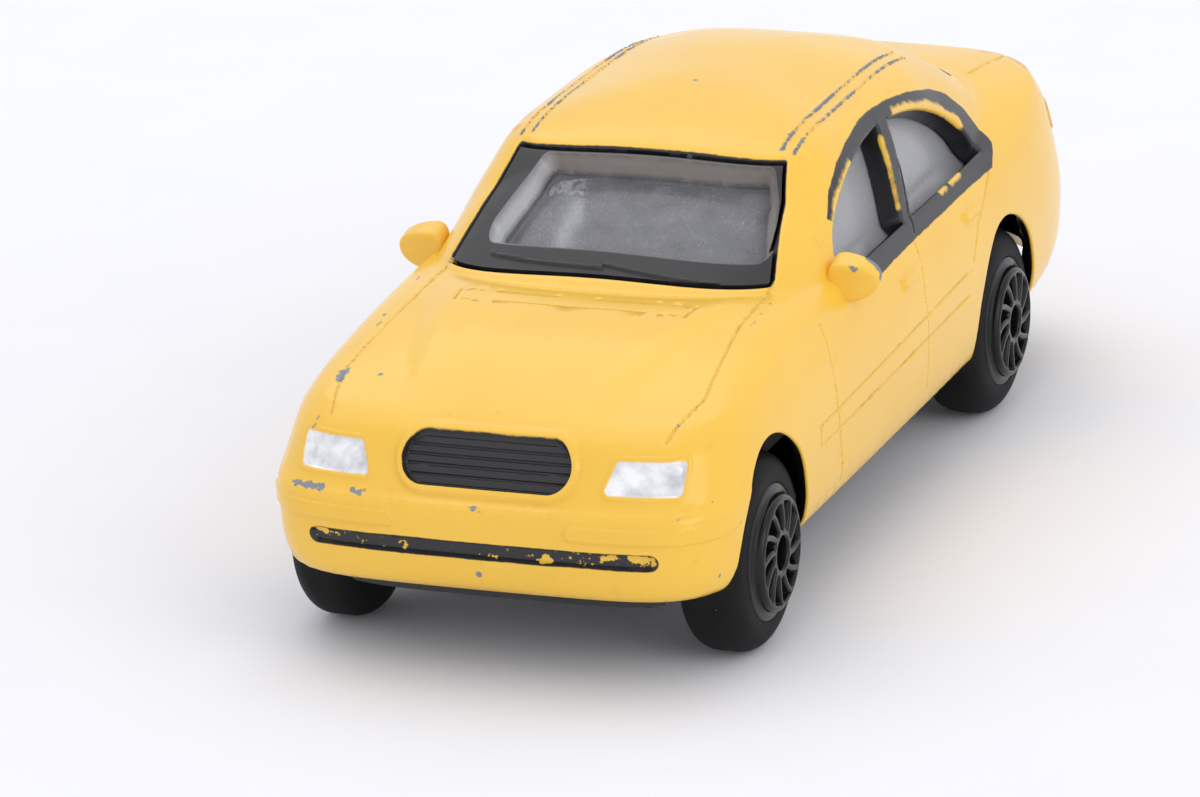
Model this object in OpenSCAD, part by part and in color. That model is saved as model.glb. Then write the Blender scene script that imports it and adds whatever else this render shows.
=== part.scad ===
// Die-cast toy saloon car with a one-piece clear glazing and free-running wheels.
// Millimetres, +Z up, the nose towards -Y. The tyres stand on z = 0, and the origin
// is on the ground at the middle of the length and the width.

/* [Body] */
// length over the bumpers
body_len = 69.8; // [60:0.2:80]
// width over the doors
body_w = 28; // [25:0.2:32]
// height of the roof crown over the ground
body_h = 24.1; // [21.6:0.1:27.6]
// thickness of the cast wall
wall_t = 1.1; // [0.8:0.05:1.4]
// rise of the hood along its middle
hood_rise = 0.5; // [0:0.05:0.8]
// depth of the shut lines and width of their stroke
line_t = 0.24; // [0.16:0.02:0.36]
// height of the raised trim over the body
trim_t = 0.22; // [0.1:0.02:0.4]
// distance between the two ridges of a roof gutter
gutter_gap = 0.72; // [0.5:0.02:1]
// length of a door handle
handle_len = 2.6; // [2:0.1:3.2]
// height of a door handle
handle_h = 0.75; // [0.5:0.05:1]
// length of a tail lamp
tail_lamp_len = 5.6; // [4:0.1:6.4]
// height of a tail lamp
tail_lamp_h = 1.75; // [1.2:0.05:2.2]
// distance from a door mirror's tip to the side of the body
mirror_reach = 0.7; // [0.4:0.05:1.2]
// height of a door mirror
mirror_h = 3; // [2.4:0.1:3.6]

/* [Windows] */
// width of the windscreen opening at the cowl
screen_low_w = 19.4; // [17:0.2:21]
// width of the windscreen opening at the roof
screen_top_w = 16.3; // [14:0.1:17.5]
// height of the windscreen opening, seen from the front
screen_h = 4.8; // [4:0.1:5.2]
// width of the clear pane in the windscreen at its foot
pane_low_w = 17.2; // [15:0.2:18.2]
// width of the clear pane at its top
pane_top_w = 13.5; // [12:0.1:14.5]
// height of the clear pane, seen from the front
pane_h = 4.05; // [3.4:0.05:4.3]
// distance from the foot of the windscreen to that of the pane, seen from the front
pane_rise = 0.22; // [0.1:0.02:0.4]
// corner radius of the pane
pane_r = 1; // [0.6:0.1:1.4]
// width of the rear window opening at its foot
rear_low_w = 17.6; // [15:0.2:19]
// width of the rear window opening at the roof
rear_top_w = 14.8; // [13:0.1:16]
// height of the rear window opening, seen from the rear
rear_h = 3.1; // [2.5:0.1:3.6]
// length of the side window arc at the belt line
side_len = 26; // [22:0.2:28]
// height of the side window arc
side_h = 4.7; // [4:0.1:5]
// width of the door pillar
pillar_w = 1.7; // [1.2:0.1:2.4]
// corner radius of the window openings
corner_r = 0.5; // [0.3:0.05:0.8]

/* [Front] */
// length of the grille
grille_len = 9.9; // [7:0.1:11]
// height of the grille
grille_h = 2.7; // [2:0.1:3]
// depth of the grille behind its lip
grille_t = 0.5; // [0.3:0.05:0.7]
// number of horizontal grille bars
grille_bars = 5; // [3:1:7]
// length of the lower intake
intake_len = 20.3; // [16:0.1:22]
// height of the lower intake
intake_h = 0.95; // [0.7:0.05:1.2]
// distance from the middle of the car to a headlamp
lamp_in = 6.9; // [6.2:0.1:7.6]
// length of a headlamp
lamp_len = 4.1; // [3:0.1:4.6]
// height of a headlamp
lamp_h = 1.65; // [1.2:0.05:2]
// length of the low panel beside the intake
fog_len = 8.4; // [7.6:0.1:9]
// height of the low panel beside the intake
fog_h = 1; // [0.7:0.05:1.3]

/* [Wheels] */
// distance between the axles
wheelbase = 42.4; // [38:0.1:46]
// distance from the nose to the front axle
front_overhang = 9.85; // [8.8:0.05:10.8]
// outer diameter of a tyre
tyre_d = 11.2; // [10.4:0.1:11.8]
// width of a tyre
tyre_w = 3.9; // [3.4:0.1:4.3]
// radius of a tyre's shoulders
shoulder_r = 1.4; // [1.1:0.05:1.6]
// bore of a tyre
tyre_bore_d = 6; // [5.4:0.1:6.6]
// diameter of the hub flange that sits in the tyre's face
flange_d = 7.7; // [7.2:0.1:8.2]
// thickness of the hub flange
flange_t = 0.4; // [0.3:0.05:0.6]
// diameter of the spoked disc on the hub
disc_d = 6.6; // [6:0.1:6.9]
// distance from the hub's face to the side of the body
hub_proud = 0; // [-0.3:0.05:0.5]
// height of the spoked disc over the tyre's face
disc_t = 0.65; // [0.4:0.05:0.9]
// chamfer of the spoked disc's edge
disc_edge = 0.2; // [0.1:0.02:0.3]
// width of the rings inside and outside the spokes
rim_w = 0.4; // [0.3:0.02:0.5]
// number of spokes
spokes = 12; // [8:1:14]
// width of a spoke
spoke_w = 0.42; // [0.3:0.02:0.5]
// depth of the openings between the spokes
spoke_t = 0.9; // [0.5:0.05:1.1]
// diameter of the open hole in the hub's face
hole_d = 1.9; // [1.7:0.05:2.2]
// diameter of an axle
axle_d = 1.5; // [1.2:0.05:1.6]
// radial gap between an axle and its bearing
running_gap = 0.05; // [0.03:0.01:0.1]
// width of a bearing block
bearing_w = 3.3; // [2.4:0.1:4]
// thickness of a bearing block round its bore
bearing_t = 0.55; // [0.4:0.05:0.7]
// gap between a tyre and the body
tyre_gap = 0.15; // [0.1:0.05:0.3]
// height of the wheel arches over the axles
arch_h = 6.75; // [6.4:0.05:7]
// width of the front wheel arch at the height of the axle
front_arch_w = 10.3; // [10:0.1:11]
// width of the rear wheel arch at the height of the axle
rear_arch_w = 11.8; // [11.2:0.1:12.2]
// distance that the rear arch stands ahead of its axle
rear_arch_ahead = 0.9; // [0.6:0.1:1.2]

/* [Base and inside] */
// thickness of the base plate
base_t = 1.4; // [1.2:0.1:1.8]
// distance that the base plate shows below the body
base_drop = 0.75; // [0.6:0.05:0.9]
// gap around pieces that are set into the body
seat_gap = 0.15; // [0.1:0.01:0.25]
// thickness of the clear glazing
glass_t = 0.9; // [0.7:0.05:1.1]
// diameter of a casting post
post_d = 3.4; // [3:0.1:4]
// diameter of a rivet's shank
rivet_d = 1.6; // [1.4:0.05:1.9]
// diameter of a rivet's head
rivet_head_d = 2.8; // [2.4:0.1:3.2]
// height of a rivet's head
rivet_head_t = 0.55; // [0.4:0.05:0.7]
// thickness of the interior's floor and of its seats' shells
tub_t = 1; // [0.8:0.1:1.2]
// width of the interior's floor
tub_w = 18.4; // [16:0.2:18.6]
// width of a front seat
seat_w = 6.6; // [5.6:0.1:7]
// length of a seat's cushion
seat_len = 5.9; // [5:0.1:6.6]
// height of a seat's cushion over the floor
cushion_h = 3; // [2.4:0.1:3.6]
// distance that a seat's back leans to the rear
back_lean = 2.1; // [1:0.1:2.6]
// thickness of a seat's back at its top
back_t = 1.6; // [1.2:0.1:2]
// length of the shelf between the rear seat and the rear window
shelf_len = 5.6; // [5:0.1:7]

/* [Hidden] */

half_w = body_w / 2;
half_l = body_len / 2;
// how far a cutter runs past what it cuts
overrun = wall_t;

// Rows of the wall from its bottom edge to the shoulder. Each row has shares of the half
// width, of the half length at the nose and the tail, and of the height at the nose, the
// side and the tail.
wall_shares = [
    [0.915, -0.960, 0.948, 0.211, 0.207, 0.235],
    [0.962, -0.986, 0.977, 0.229, 0.229, 0.266],
    [0.986, -0.997, 0.994, 0.278, 0.286, 0.315],
    [0.996, -1.000, 1.000, 0.340, 0.356, 0.382],
    [1.000, -0.999, 0.998, 0.416, 0.424, 0.440],
    [0.994, -0.978, 0.988, 0.438, 0.481, 0.510],
    [0.975, -0.957, 0.979, 0.490, 0.540, 0.589],
    [0.945, -0.935, 0.965, 0.548, 0.597, 0.680],
    [0.907, -0.897, 0.946, 0.589, 0.639, 0.735]];
// rows of the cabin from the cowl to the edge of the roof, with the same shares
cabin_shares = [
    [0.871, -0.479, 0.771, 0.707, 0.676, 0.763],
    [0.829, -0.393, 0.705, 0.780, 0.746, 0.814],
    [0.771, -0.301, 0.622, 0.855, 0.825, 0.875],
    [0.693, -0.221, 0.533, 0.908, 0.908, 0.925],
    [0.614, -0.172, 0.476, 0.938, 0.938, 0.950]];
// place of the roof's crown along the length
crown_share = 0.198;
// place of the widest section, and where the heights begin to change to the nose and the tail
mid_share = 0.026;
nose_share = -0.232;
tail_share = 0.427;
// powers of the rounded plan outlines: nose across, nose along, tail across, tail along
wall_powers = [7, 12, 5.5, 8];
cabin_powers = [3.3, 4.2, 3.6, 4.6];
// how far the sides and the ends draw in towards the corners
side_bow_share = 0.012;
end_bow_share = 0.012;
// how quickly heights change, how the deck rises, how the roof closes
height_power = 1.2;
deck_power = 1.7;
roof_power = 2;
roof_reach_share = 0.85;
// how much of an inset the cabin's rows draw in and go down, at its foot and at its top, and
// how quickly the wall's rows go down by theirs
cabin_in_shares = [0.9, 0.5];
cabin_drop_shares = [0.7, 1];
drop_power = 4;

// columns of the body across the nose, along a side and across the tail
nose_columns = 6;
side_columns = 14;
tail_columns = 5;
columns = concat(
    [for (k = [0:nose_columns - 1]) [0, k / nose_columns]],
    [for (k = [0:side_columns - 1]) [1, k / side_columns]],
    [for (k = [0:tail_columns]) [2, k / tail_columns]]);
// rows of the outside and of the plainer inside: wall, deck, cabin, roof
outer_rows = [8, 4, 5, 3];
inner_rows = [4, 2, 3, 2];

mid_y = mid_share * half_l;
nose_y = nose_share * half_l;
tail_y = tail_share * half_l;
crown_y = crown_share * half_l;

front_axle_y = front_overhang - half_l;
rear_axle_y = front_axle_y + wheelbase;
axle_z = tyre_d / 2;
hub_face_x = half_w + hub_proud;
tyre_out_x = hub_face_x - disc_t;
tyre_in_x = tyre_out_x - tyre_w;

function blend(a, b, t) = a + (b - a) * t;
function unit(t) = min(max(t, 0), 1);

// Catmull-Rom curve through the rows, at place s from 0 to 1
function spline(a, b, c, d, t) =
    (2 * b + (c - a) * t + (2 * a - 5 * b + 4 * c - d) * t * t
    + (3 * b - a - 3 * c + d) * t * t * t) / 2;
function row_at(rows, s) =
    let (n = len(rows) - 1, k = min(floor(s * n), n - 1))
    spline(rows[max(k - 1, 0)], rows[k], rows[k + 1], rows[min(k + 2, n)], s * n - k);

// Point of a rounded plan outline at a column, with its sides and ends bowed a little. The
// powers are those of the nose, across and along, and then those of the tail.
function plan_point(half, front, rear, powers, c) =
    let (at_nose = c[0] == 0 || (c[0] == 1 && c[1] < 1 / 2),
        across = powers[at_nose ? 0 : 2],
        along = powers[at_nose ? 1 : 3],
        end_u = pow(1 / 2, 1 / across) * (c[0] == 0 ? c[1] : 1 - c[1]),
        side_v = pow(1 / 2, 1 / along) * (2 * c[1] - 1),
        u = c[0] == 1 ? pow(1 - pow(abs(side_v), along), 1 / across) : end_u,
        end_v = (at_nose ? -1 : 1) * pow(1 - pow(end_u, across), 1 / along),
        v = c[0] == 1 ? side_v : end_v,
        reach = v < 0 ? mid_y - front : rear - mid_y)
    [half * u * (1 - side_bow_share * v * v),
        mid_y + reach * v * (1 - end_bow_share * u * u * pow(abs(v), 3))];

// half a ring of the body, drawn in by inset and lowered by drop
function half_ring(row, powers, inset, drop) =
    let (half = row[0] * half_w - inset,
        front = row[1] * half_l + inset,
        rear = row[2] * half_l - inset)
    [for (c = columns)
        let (p = plan_point(half, front, rear, powers, c),
            f = p.y < nose_y ? pow(unit((nose_y - p.y) / (nose_y - front)), height_power) : 0,
            r = pow(unit((p.y - tail_y) / (rear - tail_y)), height_power))
        [p.x, p.y, (row[4] + (row[3] - row[4]) * f + (row[5] - row[4]) * r) * body_h - drop]];

function wall_ring(s, inset) =
    half_ring(row_at(wall_shares, s), wall_powers, inset, inset * pow(s, drop_power));
function cabin_ring(s, inset) =
    half_ring(row_at(cabin_shares, s), cabin_powers,
        inset * blend(cabin_in_shares[0], cabin_in_shares[1], s),
        inset * blend(cabin_drop_shares[0], cabin_drop_shares[1], s));

// Raised middle of the hood: its edges run together towards the grille. Half widths at the
// grille and at the cowl and the width of the slope, as shares of the half width
hood_edge_shares = [0.36, 0.62];
hood_slope_share = 0.13;
hood_power = 0.7;
function smooth(t) = unit(t) * unit(t) * (3 - 2 * unit(t));
function hood_swell(p, d) =
    let (front = wall_shares[0][1] * half_l, cowl = cabin_shares[0][1] * half_l,
        edge = blend(hood_edge_shares[0], hood_edge_shares[1], unit((p.y - front) / (cowl - front))))
    p.y > mid_y || d <= 0 || d >= 1 ? 0 : hood_rise * pow(sin(180 * d), hood_power)
        * smooth((edge - abs(p.x) / half_w) / hood_slope_share + 1 / 2);
function deck_ring(d, inset) =
    let (low = wall_ring(1, inset), high = cabin_ring(0, inset), rise = 1 - pow(1 - d, deck_power))
    [for (k = [0:len(low) - 1])
        let (p = blend(low[k], high[k], d))
        [p.x, p.y, blend(low[k].z, high[k].z, rise) + hood_swell(p, d)]];
function roof_ring(e, inset) =
    let (edge = cabin_ring(1, inset))
    [for (p = edge)
        [p.x * (1 - e), blend(p.y, crown_y, e * roof_reach_share),
            blend(p.z, body_h - inset, 1 - pow(1 - e, roof_power))]];

function cabin_rings(inset, rows) = concat(
    [for (k = [0:rows[2]]) cabin_ring(k / rows[2], inset)],
    [for (k = [1:rows[3] - 1]) roof_ring(k / rows[3], inset)]);
function body_rings(inset, rows) = concat(
    [for (k = [0:rows[0]]) wall_ring(k / rows[0], inset)],
    [for (k = [1:rows[1] - 1]) deck_ring(k / rows[1], inset)],
    cabin_rings(inset, rows));
// the same ring, all round, at one height
function flat_ring(ring, z) = [for (p = ring) [p.x, p.y, z]];

// closed solid through half rings, mirrored across the car, with a point at top and bottom
module ring_solid(half_rings, bottom_z, top_z) {
    rings = [for (h = half_rings)
        concat(h, [for (k = [len(h) - 2:-1:1]) [-h[k].x, h[k].y, h[k].z]])];
    n = len(rings[0]);
    m = len(rings);
    points = concat([for (r = rings) each r], [[0, crown_y, bottom_z], [0, crown_y, top_z]]);
    faces = concat(
        [for (i = [0:m - 2]) for (j = [0:n - 1])
            let (a = i * n + j, b = i * n + (j + 1) % n)
            each [[a, a + n, b + n], [a, b + n, b]]],
        [for (j = [0:n - 1]) [j, (j + 1) % n, m * n]],
        [for (j = [0:n - 1]) [(m - 1) * n + (j + 1) % n, (m - 1) * n + j, m * n + 1]]);
    polyhedron(points, faces);
}

// the whole body as a solid, drawn in by inset
module body_solid(inset, rows = outer_rows) {
    low = wall_shares[0][4] * body_h;
    ring_solid(body_rings(inset, rows), low, body_h - inset);
}
// the hollow inside the body, open at the bottom
module body_hollow() {
    rings = body_rings(wall_t, inner_rows);
    ring_solid(concat([flat_ring(rings[0], 0)], rings), 0, body_h - wall_t);
}
// the cabin alone as a solid, drawn in by inset
module cabin_solid(inset, rows) {
    rings = cabin_rings(inset, rows);
    ring_solid(rings, cabin_shares[0][4] * body_h - inset, body_h - inset);
}

// shapes drawn as seen from the front, from the side and from above, made prisms
module seen_from_front(y, depth) {
    translate([0, y, 0]) rotate([90, 0, 0]) linear_extrude(depth) children();
}
module seen_from_side() {
    rotate([90, 0, 90]) linear_extrude(body_w + 2 * overrun, center = true) children();
}
// what a prism takes off the body to a depth, and what it adds over the body
module engraved(depth) {
    difference() {
        children();
        body_solid(depth);
    }
}
module raised(height) {
    intersection() {
        children();
        body_solid(-height);
    }
}
module on_both_sides() {
    children();
    mirror([1, 0, 0]) children();
}

// four-cornered window seen from the front: half widths at foot and top, foot height, height
module window_shape(low_w, top_w, z, h, inset, corner = corner_r) {
    r = max(corner - inset, corner / 2);
    in = inset + r;
    hull() {
        for (s = [-1, 1]) {
            translate([s * (low_w / 2 - in), z + in]) circle(r, $fn = 12);
            translate([s * (top_w / 2 - in), z + h - in]) circle(r, $fn = 12);
        }
    }
}

// foot of the windscreen, the rear window and the side windows, as shares of the height
screen_foot_share = 0.711;
rear_foot_share = 0.785;
side_foot_share = 0.688;
// middle of the side arc, and foot and head of the door pillar, as shares of the half length
side_mid_share = 0.125;
pillar_shares = [0.070, 0.160];
screen_z = screen_foot_share * body_h;
rear_z = rear_foot_share * body_h;
side_z = side_foot_share * body_h;
side_y = side_mid_share * half_l;
arc_power = 2.4;
arc_steps = 28;

// from the roof forward to the cowl
module screen_prism() {
    start = crown_y - corner_r;
    seen_from_front(start, start - cabin_shares[0][1] * half_l) children();
}
module windscreen_prism(inset) {
    screen_prism() window_shape(screen_low_w, screen_top_w, screen_z, screen_h, inset);
}
module pane_prism() {
    screen_prism()
        window_shape(pane_low_w, pane_top_w, screen_z + pane_rise, pane_h, 0, pane_r);
}
module rear_prism(inset) {
    seen_from_front(half_l, half_l - crown_y - corner_r)
        window_shape(rear_low_w, rear_top_w, rear_z, rear_h, inset);
}
// arc of the side windows, seen from the side
module side_arc(inset) {
    b = side_len / 2 - inset;
    h = side_h - inset;
    polygon([for (k = [0:arc_steps])
        let (a = 180 * k / arc_steps, c = cos(a), s = sin(a))
        [side_y + b * sign(c) * pow(abs(c), 2 / arc_power),
            side_z + max(h * pow(s, 2 / arc_power), inset)]]);
}
// the leaning pillar between the doors
module door_pillar(w) {
    top = side_z + side_h + overrun;
    low = side_z - overrun;
    foot = pillar_shares[0] * half_l;
    head = pillar_shares[1] * half_l;
    polygon([[foot - w / 2, low], [foot + w / 2, low], [head + w / 2, top], [head - w / 2, top]]);
}
module side_prism(inset) {
    seen_from_side() {
        difference() {
            side_arc(inset);
            door_pillar(pillar_w + 2 * inset);
        }
    }
}

// Wheel arches: upright ovals in the side of the body. The tyres stand behind their edges, so
// the inside of the body is cleared round each tyre as well.
module wheel_arch(y, width) {
    translate([tyre_in_x - overrun, y, axle_z]) rotate([0, 90, 0])
        scale([2 * arch_h / width, 1, 1]) cylinder(d = width, h = half_w, $fn = 48);
}
// a tyre with its gap, its round shoulder drawn as the chamfer that touches it
module tyre_room(y) {
    r = tyre_d / 2 + tyre_gap;
    out_x = tyre_out_x + tyre_gap;
    slope = (2 - sqrt(2)) * (shoulder_r + tyre_gap);
    translate([0, y, axle_z]) rotate([0, 90, 0]) rotate_extrude($fn = 48) polygon([
        [0, tyre_in_x - tyre_gap], [r, tyre_in_x - tyre_gap], [r, out_x - slope],
        [r - slope, out_x], [0, out_x]]);
}
module wheel_arches() {
    on_both_sides() {
        wheel_arch(front_axle_y, front_arch_w);
        wheel_arch(rear_axle_y - rear_arch_ahead, rear_arch_w);
        tyre_room(front_axle_y);
        tyre_room(rear_axle_y);
    }
}

// middle heights of grille, intake and headlamps, as shares of the height
grille_share = 0.510;
intake_share = 0.324;
lamp_share = 0.500;
// lean of a headlamp's inner edge, as a share of its height
lamp_lean_share = 0.3;
grille_z = grille_share * body_h;
intake_z = intake_share * body_h;
lamp_z = lamp_share * body_h;
lamp_lean = lamp_lean_share * lamp_h;
// a bar with round ends, seen from the front
module stadium(length, height) {
    hull() {
        for (s = [-1, 1]) {
            translate([s * (length - height) / 2, 0]) circle(height / 2, $fn = 24);
        }
    }
}
module front_prism() {
    seen_from_front(front_axle_y, half_l) children();
}
// the bars stand in the recess, half as deep as its floor
module grille_recess() {
    bar = grille_h / (2 * grille_bars + 1);
    difference() {
        engraved(grille_t) front_prism() translate([0, grille_z]) stadium(grille_len, grille_h);
        intersection() {
            body_solid(grille_t / 2);
            front_prism() for (k = [0:grille_bars - 1]) {
                translate([-grille_len, grille_z + (2 * k + 1) * bar - grille_h / 2])
                    square([2 * grille_len, bar]);
            }
        }
    }
}
module intake_recess() {
    engraved(grille_t / 2) front_prism() translate([0, intake_z]) stadium(intake_len, intake_h);
}
module grille_lip() {
    lip = 2 * line_t;
    raised(trim_t) front_prism() translate([0, grille_z])
        stadium(grille_len + 2 * lip, grille_h + 2 * lip);
}
module headlamps() {
    raised(trim_t) on_both_sides() front_prism() translate([lamp_in, lamp_z]) {
        polygon([[0, -lamp_h / 2], [lamp_len, -lamp_h / 2],
            [lamp_len, lamp_h / 2], [lamp_lean, lamp_h / 2]]);
    }
}
// inner low corners of the panel beside the intake and of the lamp at the tail, as shares of
// the half width and the height
fog_shares = [0.350, 0.364];
tail_lamp_shares = [0.600, 0.571];
module fog_panels() {
    raised(trim_t / 2) on_both_sides() front_prism()
        translate([fog_shares[0] * half_w, fog_shares[1] * body_h]) square([fog_len, fog_h]);
}
module tail_lamps() {
    raised(trim_t) on_both_sides()
        seen_from_front(half_l + overrun, half_l - rear_axle_y)
            translate([tail_lamp_shares[0] * half_w, tail_lamp_shares[1] * body_h])
                square([tail_lamp_len, tail_lamp_h]);
}

// a line of the stroke's width between points
module stroke(points) {
    for (k = [0:len(points) - 2]) {
        hull() {
            translate(points[k]) circle(line_t / 2, $fn = 6);
            translate(points[k + 1]) circle(line_t / 2, $fn = 6);
        }
    }
}
function on_side(shares) = [for (s = shares) [s[0] * half_l, s[1] * body_h]];
function on_top(shares) = [for (s = shares) [s[0] * half_w, s[1] * half_l]];
// shut lines of the doors, seen from the side: shares of the half length and the height
front_door_shares = [[-0.400, 0.269], [-0.421, 0.366], [-0.432, 0.464], [-0.421, 0.556],
    [-0.404, 0.629]];
middle_door_shares = [[0.030, 0.278], [0.030, 0.503], [0.062, 0.625]];
rear_door_shares = [[0.285, 0.483], [0.340, 0.551], [0.470, 0.629]];
rub_low_shares = [[-0.515, 0.391], [0.255, 0.410]];
rub_top_shares = [[-0.515, 0.391], [-0.515, 0.439], [0.270, 0.469]];
// shut lines of the hood and the cowl vent, seen from above: shares of half width and length
hood_line_shares = [[0.690, -0.380], [0.695, -0.545], [0.755, -0.785], [0.700, -0.900]];
vent_shares = [[0.000, -0.590], [0.480, -0.572], [0.498, -0.520], [0.000, -0.548]];
trunk_line_shares = [[0.600, 0.760], [0.640, 0.940]];
gutter_shares = [[0.535, -0.150], [0.520, 0.440]];
// front low corners of the door handles, as shares of the half length and the height
handle_shares = [[-0.055, 0.556], [0.285, 0.571]];

module shut_lines() {
    engraved(line_t) seen_from_side() {
        for (line = [front_door_shares, middle_door_shares, rear_door_shares,
            rub_low_shares, rub_top_shares]) {
            stroke(on_side(line));
        }
    }
    engraved(line_t) on_both_sides() linear_extrude(body_h) {
        for (line = [hood_line_shares, vent_shares, trunk_line_shares]) {
            stroke(on_top(line));
        }
    }
}
module door_handles() {
    raised(trim_t) seen_from_side() {
        for (s = handle_shares) {
            translate([s[0] * half_l, s[1] * body_h]) square([handle_len, handle_h]);
        }
    }
}
module roof_gutters() {
    raised(trim_t / 2) on_both_sides() translate([0, 0, axle_z]) linear_extrude(body_h) {
        stroke(on_top(gutter_shares));
        translate([gutter_gap, 0]) stroke(on_top(gutter_shares));
    }
}
// place of a mirror, as shares of the half length and the height
mirror_shares = [-0.247, 0.688];
// Corners of a mirror's front and back, seen from the front: shares of the way from its foot in
// the side of the cabin to its tip, and of its height along the car and up. Its top is flat and
// its lower end is narrow. The last share is that of its round edges.
mirror_front_shares = [[0, -0.34, 0.18], [0.61, -0.27, 0.16], [0.98, -0.14, -0.02],
    [0.90, -0.16, -0.27], [0.59, -0.23, -0.43], [0, -0.32, -0.45]];
mirror_back_shares = [[0, 0.07, 0.37], [0.61, 0.07, 0.28], [0.98, 0.05, 0.05],
    [0.83, 0.05, -0.20], [0.37, 0, -0.36], [0, 0, -0.36]];
mirror_edge_share = 0.09;
module door_mirrors() {
    edge_r = mirror_edge_share * mirror_h;
    foot_x = cabin_shares[0][0] * half_w - wall_t / 2;
    tip_x = half_w + mirror_reach - edge_r;
    on_both_sides() hull() {
        for (s = concat(mirror_front_shares, mirror_back_shares)) {
            translate([blend(foot_x, tip_x, s[0]), mirror_shares[0] * half_l + s[1] * mirror_h,
                mirror_shares[1] * body_h + s[2] * mirror_h]) sphere(edge_r, $fn = 8);
        }
    }
}

// The posts that the rivets draw the base to: one under the hood, midway between the front
// bearings and the cowl, and one under the trunk, midway between the rear window and the tail
bearing_r = axle_d / 2 + running_gap;
block_r = bearing_r + bearing_t;
base_z = wall_shares[0][4] * body_h - base_drop;
base_top = base_z + base_t;
front_post_y = (front_axle_y + block_r + cabin_shares[0][1] * half_l) / 2;
rear_post_y = (cabin_shares[0][2] + wall_shares[0][2]) * half_l / 2 - wall_t;
post_bore = rivet_d / 2 + seat_gap / 3;
rivet_reach = 2 * rivet_d;
post_bore_h = rivet_reach + rivet_d / 2;
module post(y) {
    difference() {
        intersection() {
            translate([0, y, base_top]) cylinder(d = post_d, h = body_h, $fn = 32);
            body_solid(wall_t / 2, inner_rows);
        }
        translate([0, y, base_top - overrun])
            cylinder(r = post_bore, h = post_bore_h + overrun, $fn = 32);
    }
}

module body_shell() {
    color("#f5bb2c") union() {
        difference() {
            union() {
                body_solid(0);
                grille_lip();
                headlamps();
                fog_panels();
                tail_lamps();
                door_handles();
                roof_gutters();
            }
            body_hollow();
            wheel_arches();
            windscreen_prism(0);
            rear_prism(0);
            side_prism(0);
            grille_recess();
            intake_recess();
            shut_lines();
        }
        difference() {
            door_mirrors();
            body_hollow();
        }
        post(front_post_y);
        post(rear_post_y);
    }
}

// Clear moulding under the roof. The rear window and the frame of the windscreen stand up flush
// with the body. The pane in that frame and the side panes stay back.
glass_in = wall_t + seat_gap;
flush_in = seat_gap;
// how far the side panes stay back in the wall, as a share of its thickness
pane_share = 0.75;
pane_in = pane_share * wall_t;
// the two moulded wipers on the pane, seen from the front: shares of half width and height
wiper_shares = [[[-0.500, 0.733], [-0.030, 0.728]], [[0.000, 0.735], [0.470, 0.727]]];
module wipers() {
    intersection() {
        screen_prism() for (line = wiper_shares) {
            stroke([for (s = line) [s[0] * half_w, s[1] * body_h]]);
        }
        cabin_solid(glass_in - trim_t, outer_rows);
    }
}
module glazing() {
    color("#7d8288") difference() {
        union() {
            cabin_solid(glass_in, inner_rows);
            wipers();
            intersection() {
                union() {
                    difference() {
                        windscreen_prism(seat_gap);
                        pane_prism();
                    }
                    rear_prism(seat_gap);
                }
                cabin_solid(flush_in, outer_rows);
            }
            intersection() {
                side_prism(seat_gap);
                cabin_solid(pane_in, outer_rows);
            }
        }
        cabin_solid(glass_in + glass_t, inner_rows);
        translate([-half_w, -half_l, 0]) cube([body_w, body_len, side_z - seat_gap]);
    }
}

// Interior: floor, dash and seats in one moulding that stands on four feet
tub_z = axle_z + axle_d / 2 + 2 * tub_t;
// front end of the floor and front edge of the front seats, as shares of the half length
tub_front_share = -0.424;
front_seat_share = -0.174;
// tops of the seats and of the dash, as shares of the height
seat_top_share = 0.727;
dash_share = 0.649;
tub_front = tub_front_share * half_l;
front_seat_y = front_seat_share * half_l;
glass_tail_y = cabin_shares[0][2] * half_l - cabin_in_shares[0] * (glass_in + glass_t);
tub_rear = glass_tail_y - shelf_len;
rear_seat_y = tub_rear - seat_len - back_lean - back_t;
cushion_z = tub_z + cushion_h;
seat_top = seat_top_share * body_h;
dash_z = dash_share * body_h;
// what the wheels keep free beside them, from the middle of the car and each way from the axle
well_x = tyre_in_x - 2 * seat_gap;
well_half = tyre_d / 2 + 3 * seat_gap;
module wheel_wells(z, h) {
    for (x = [-1, 1]) {
        for (y = [front_axle_y, rear_axle_y]) {
            translate([x * (well_x + half_w / 2), y, z + h / 2])
                cube([half_w, 2 * well_half, h], center = true);
        }
    }
}
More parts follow.
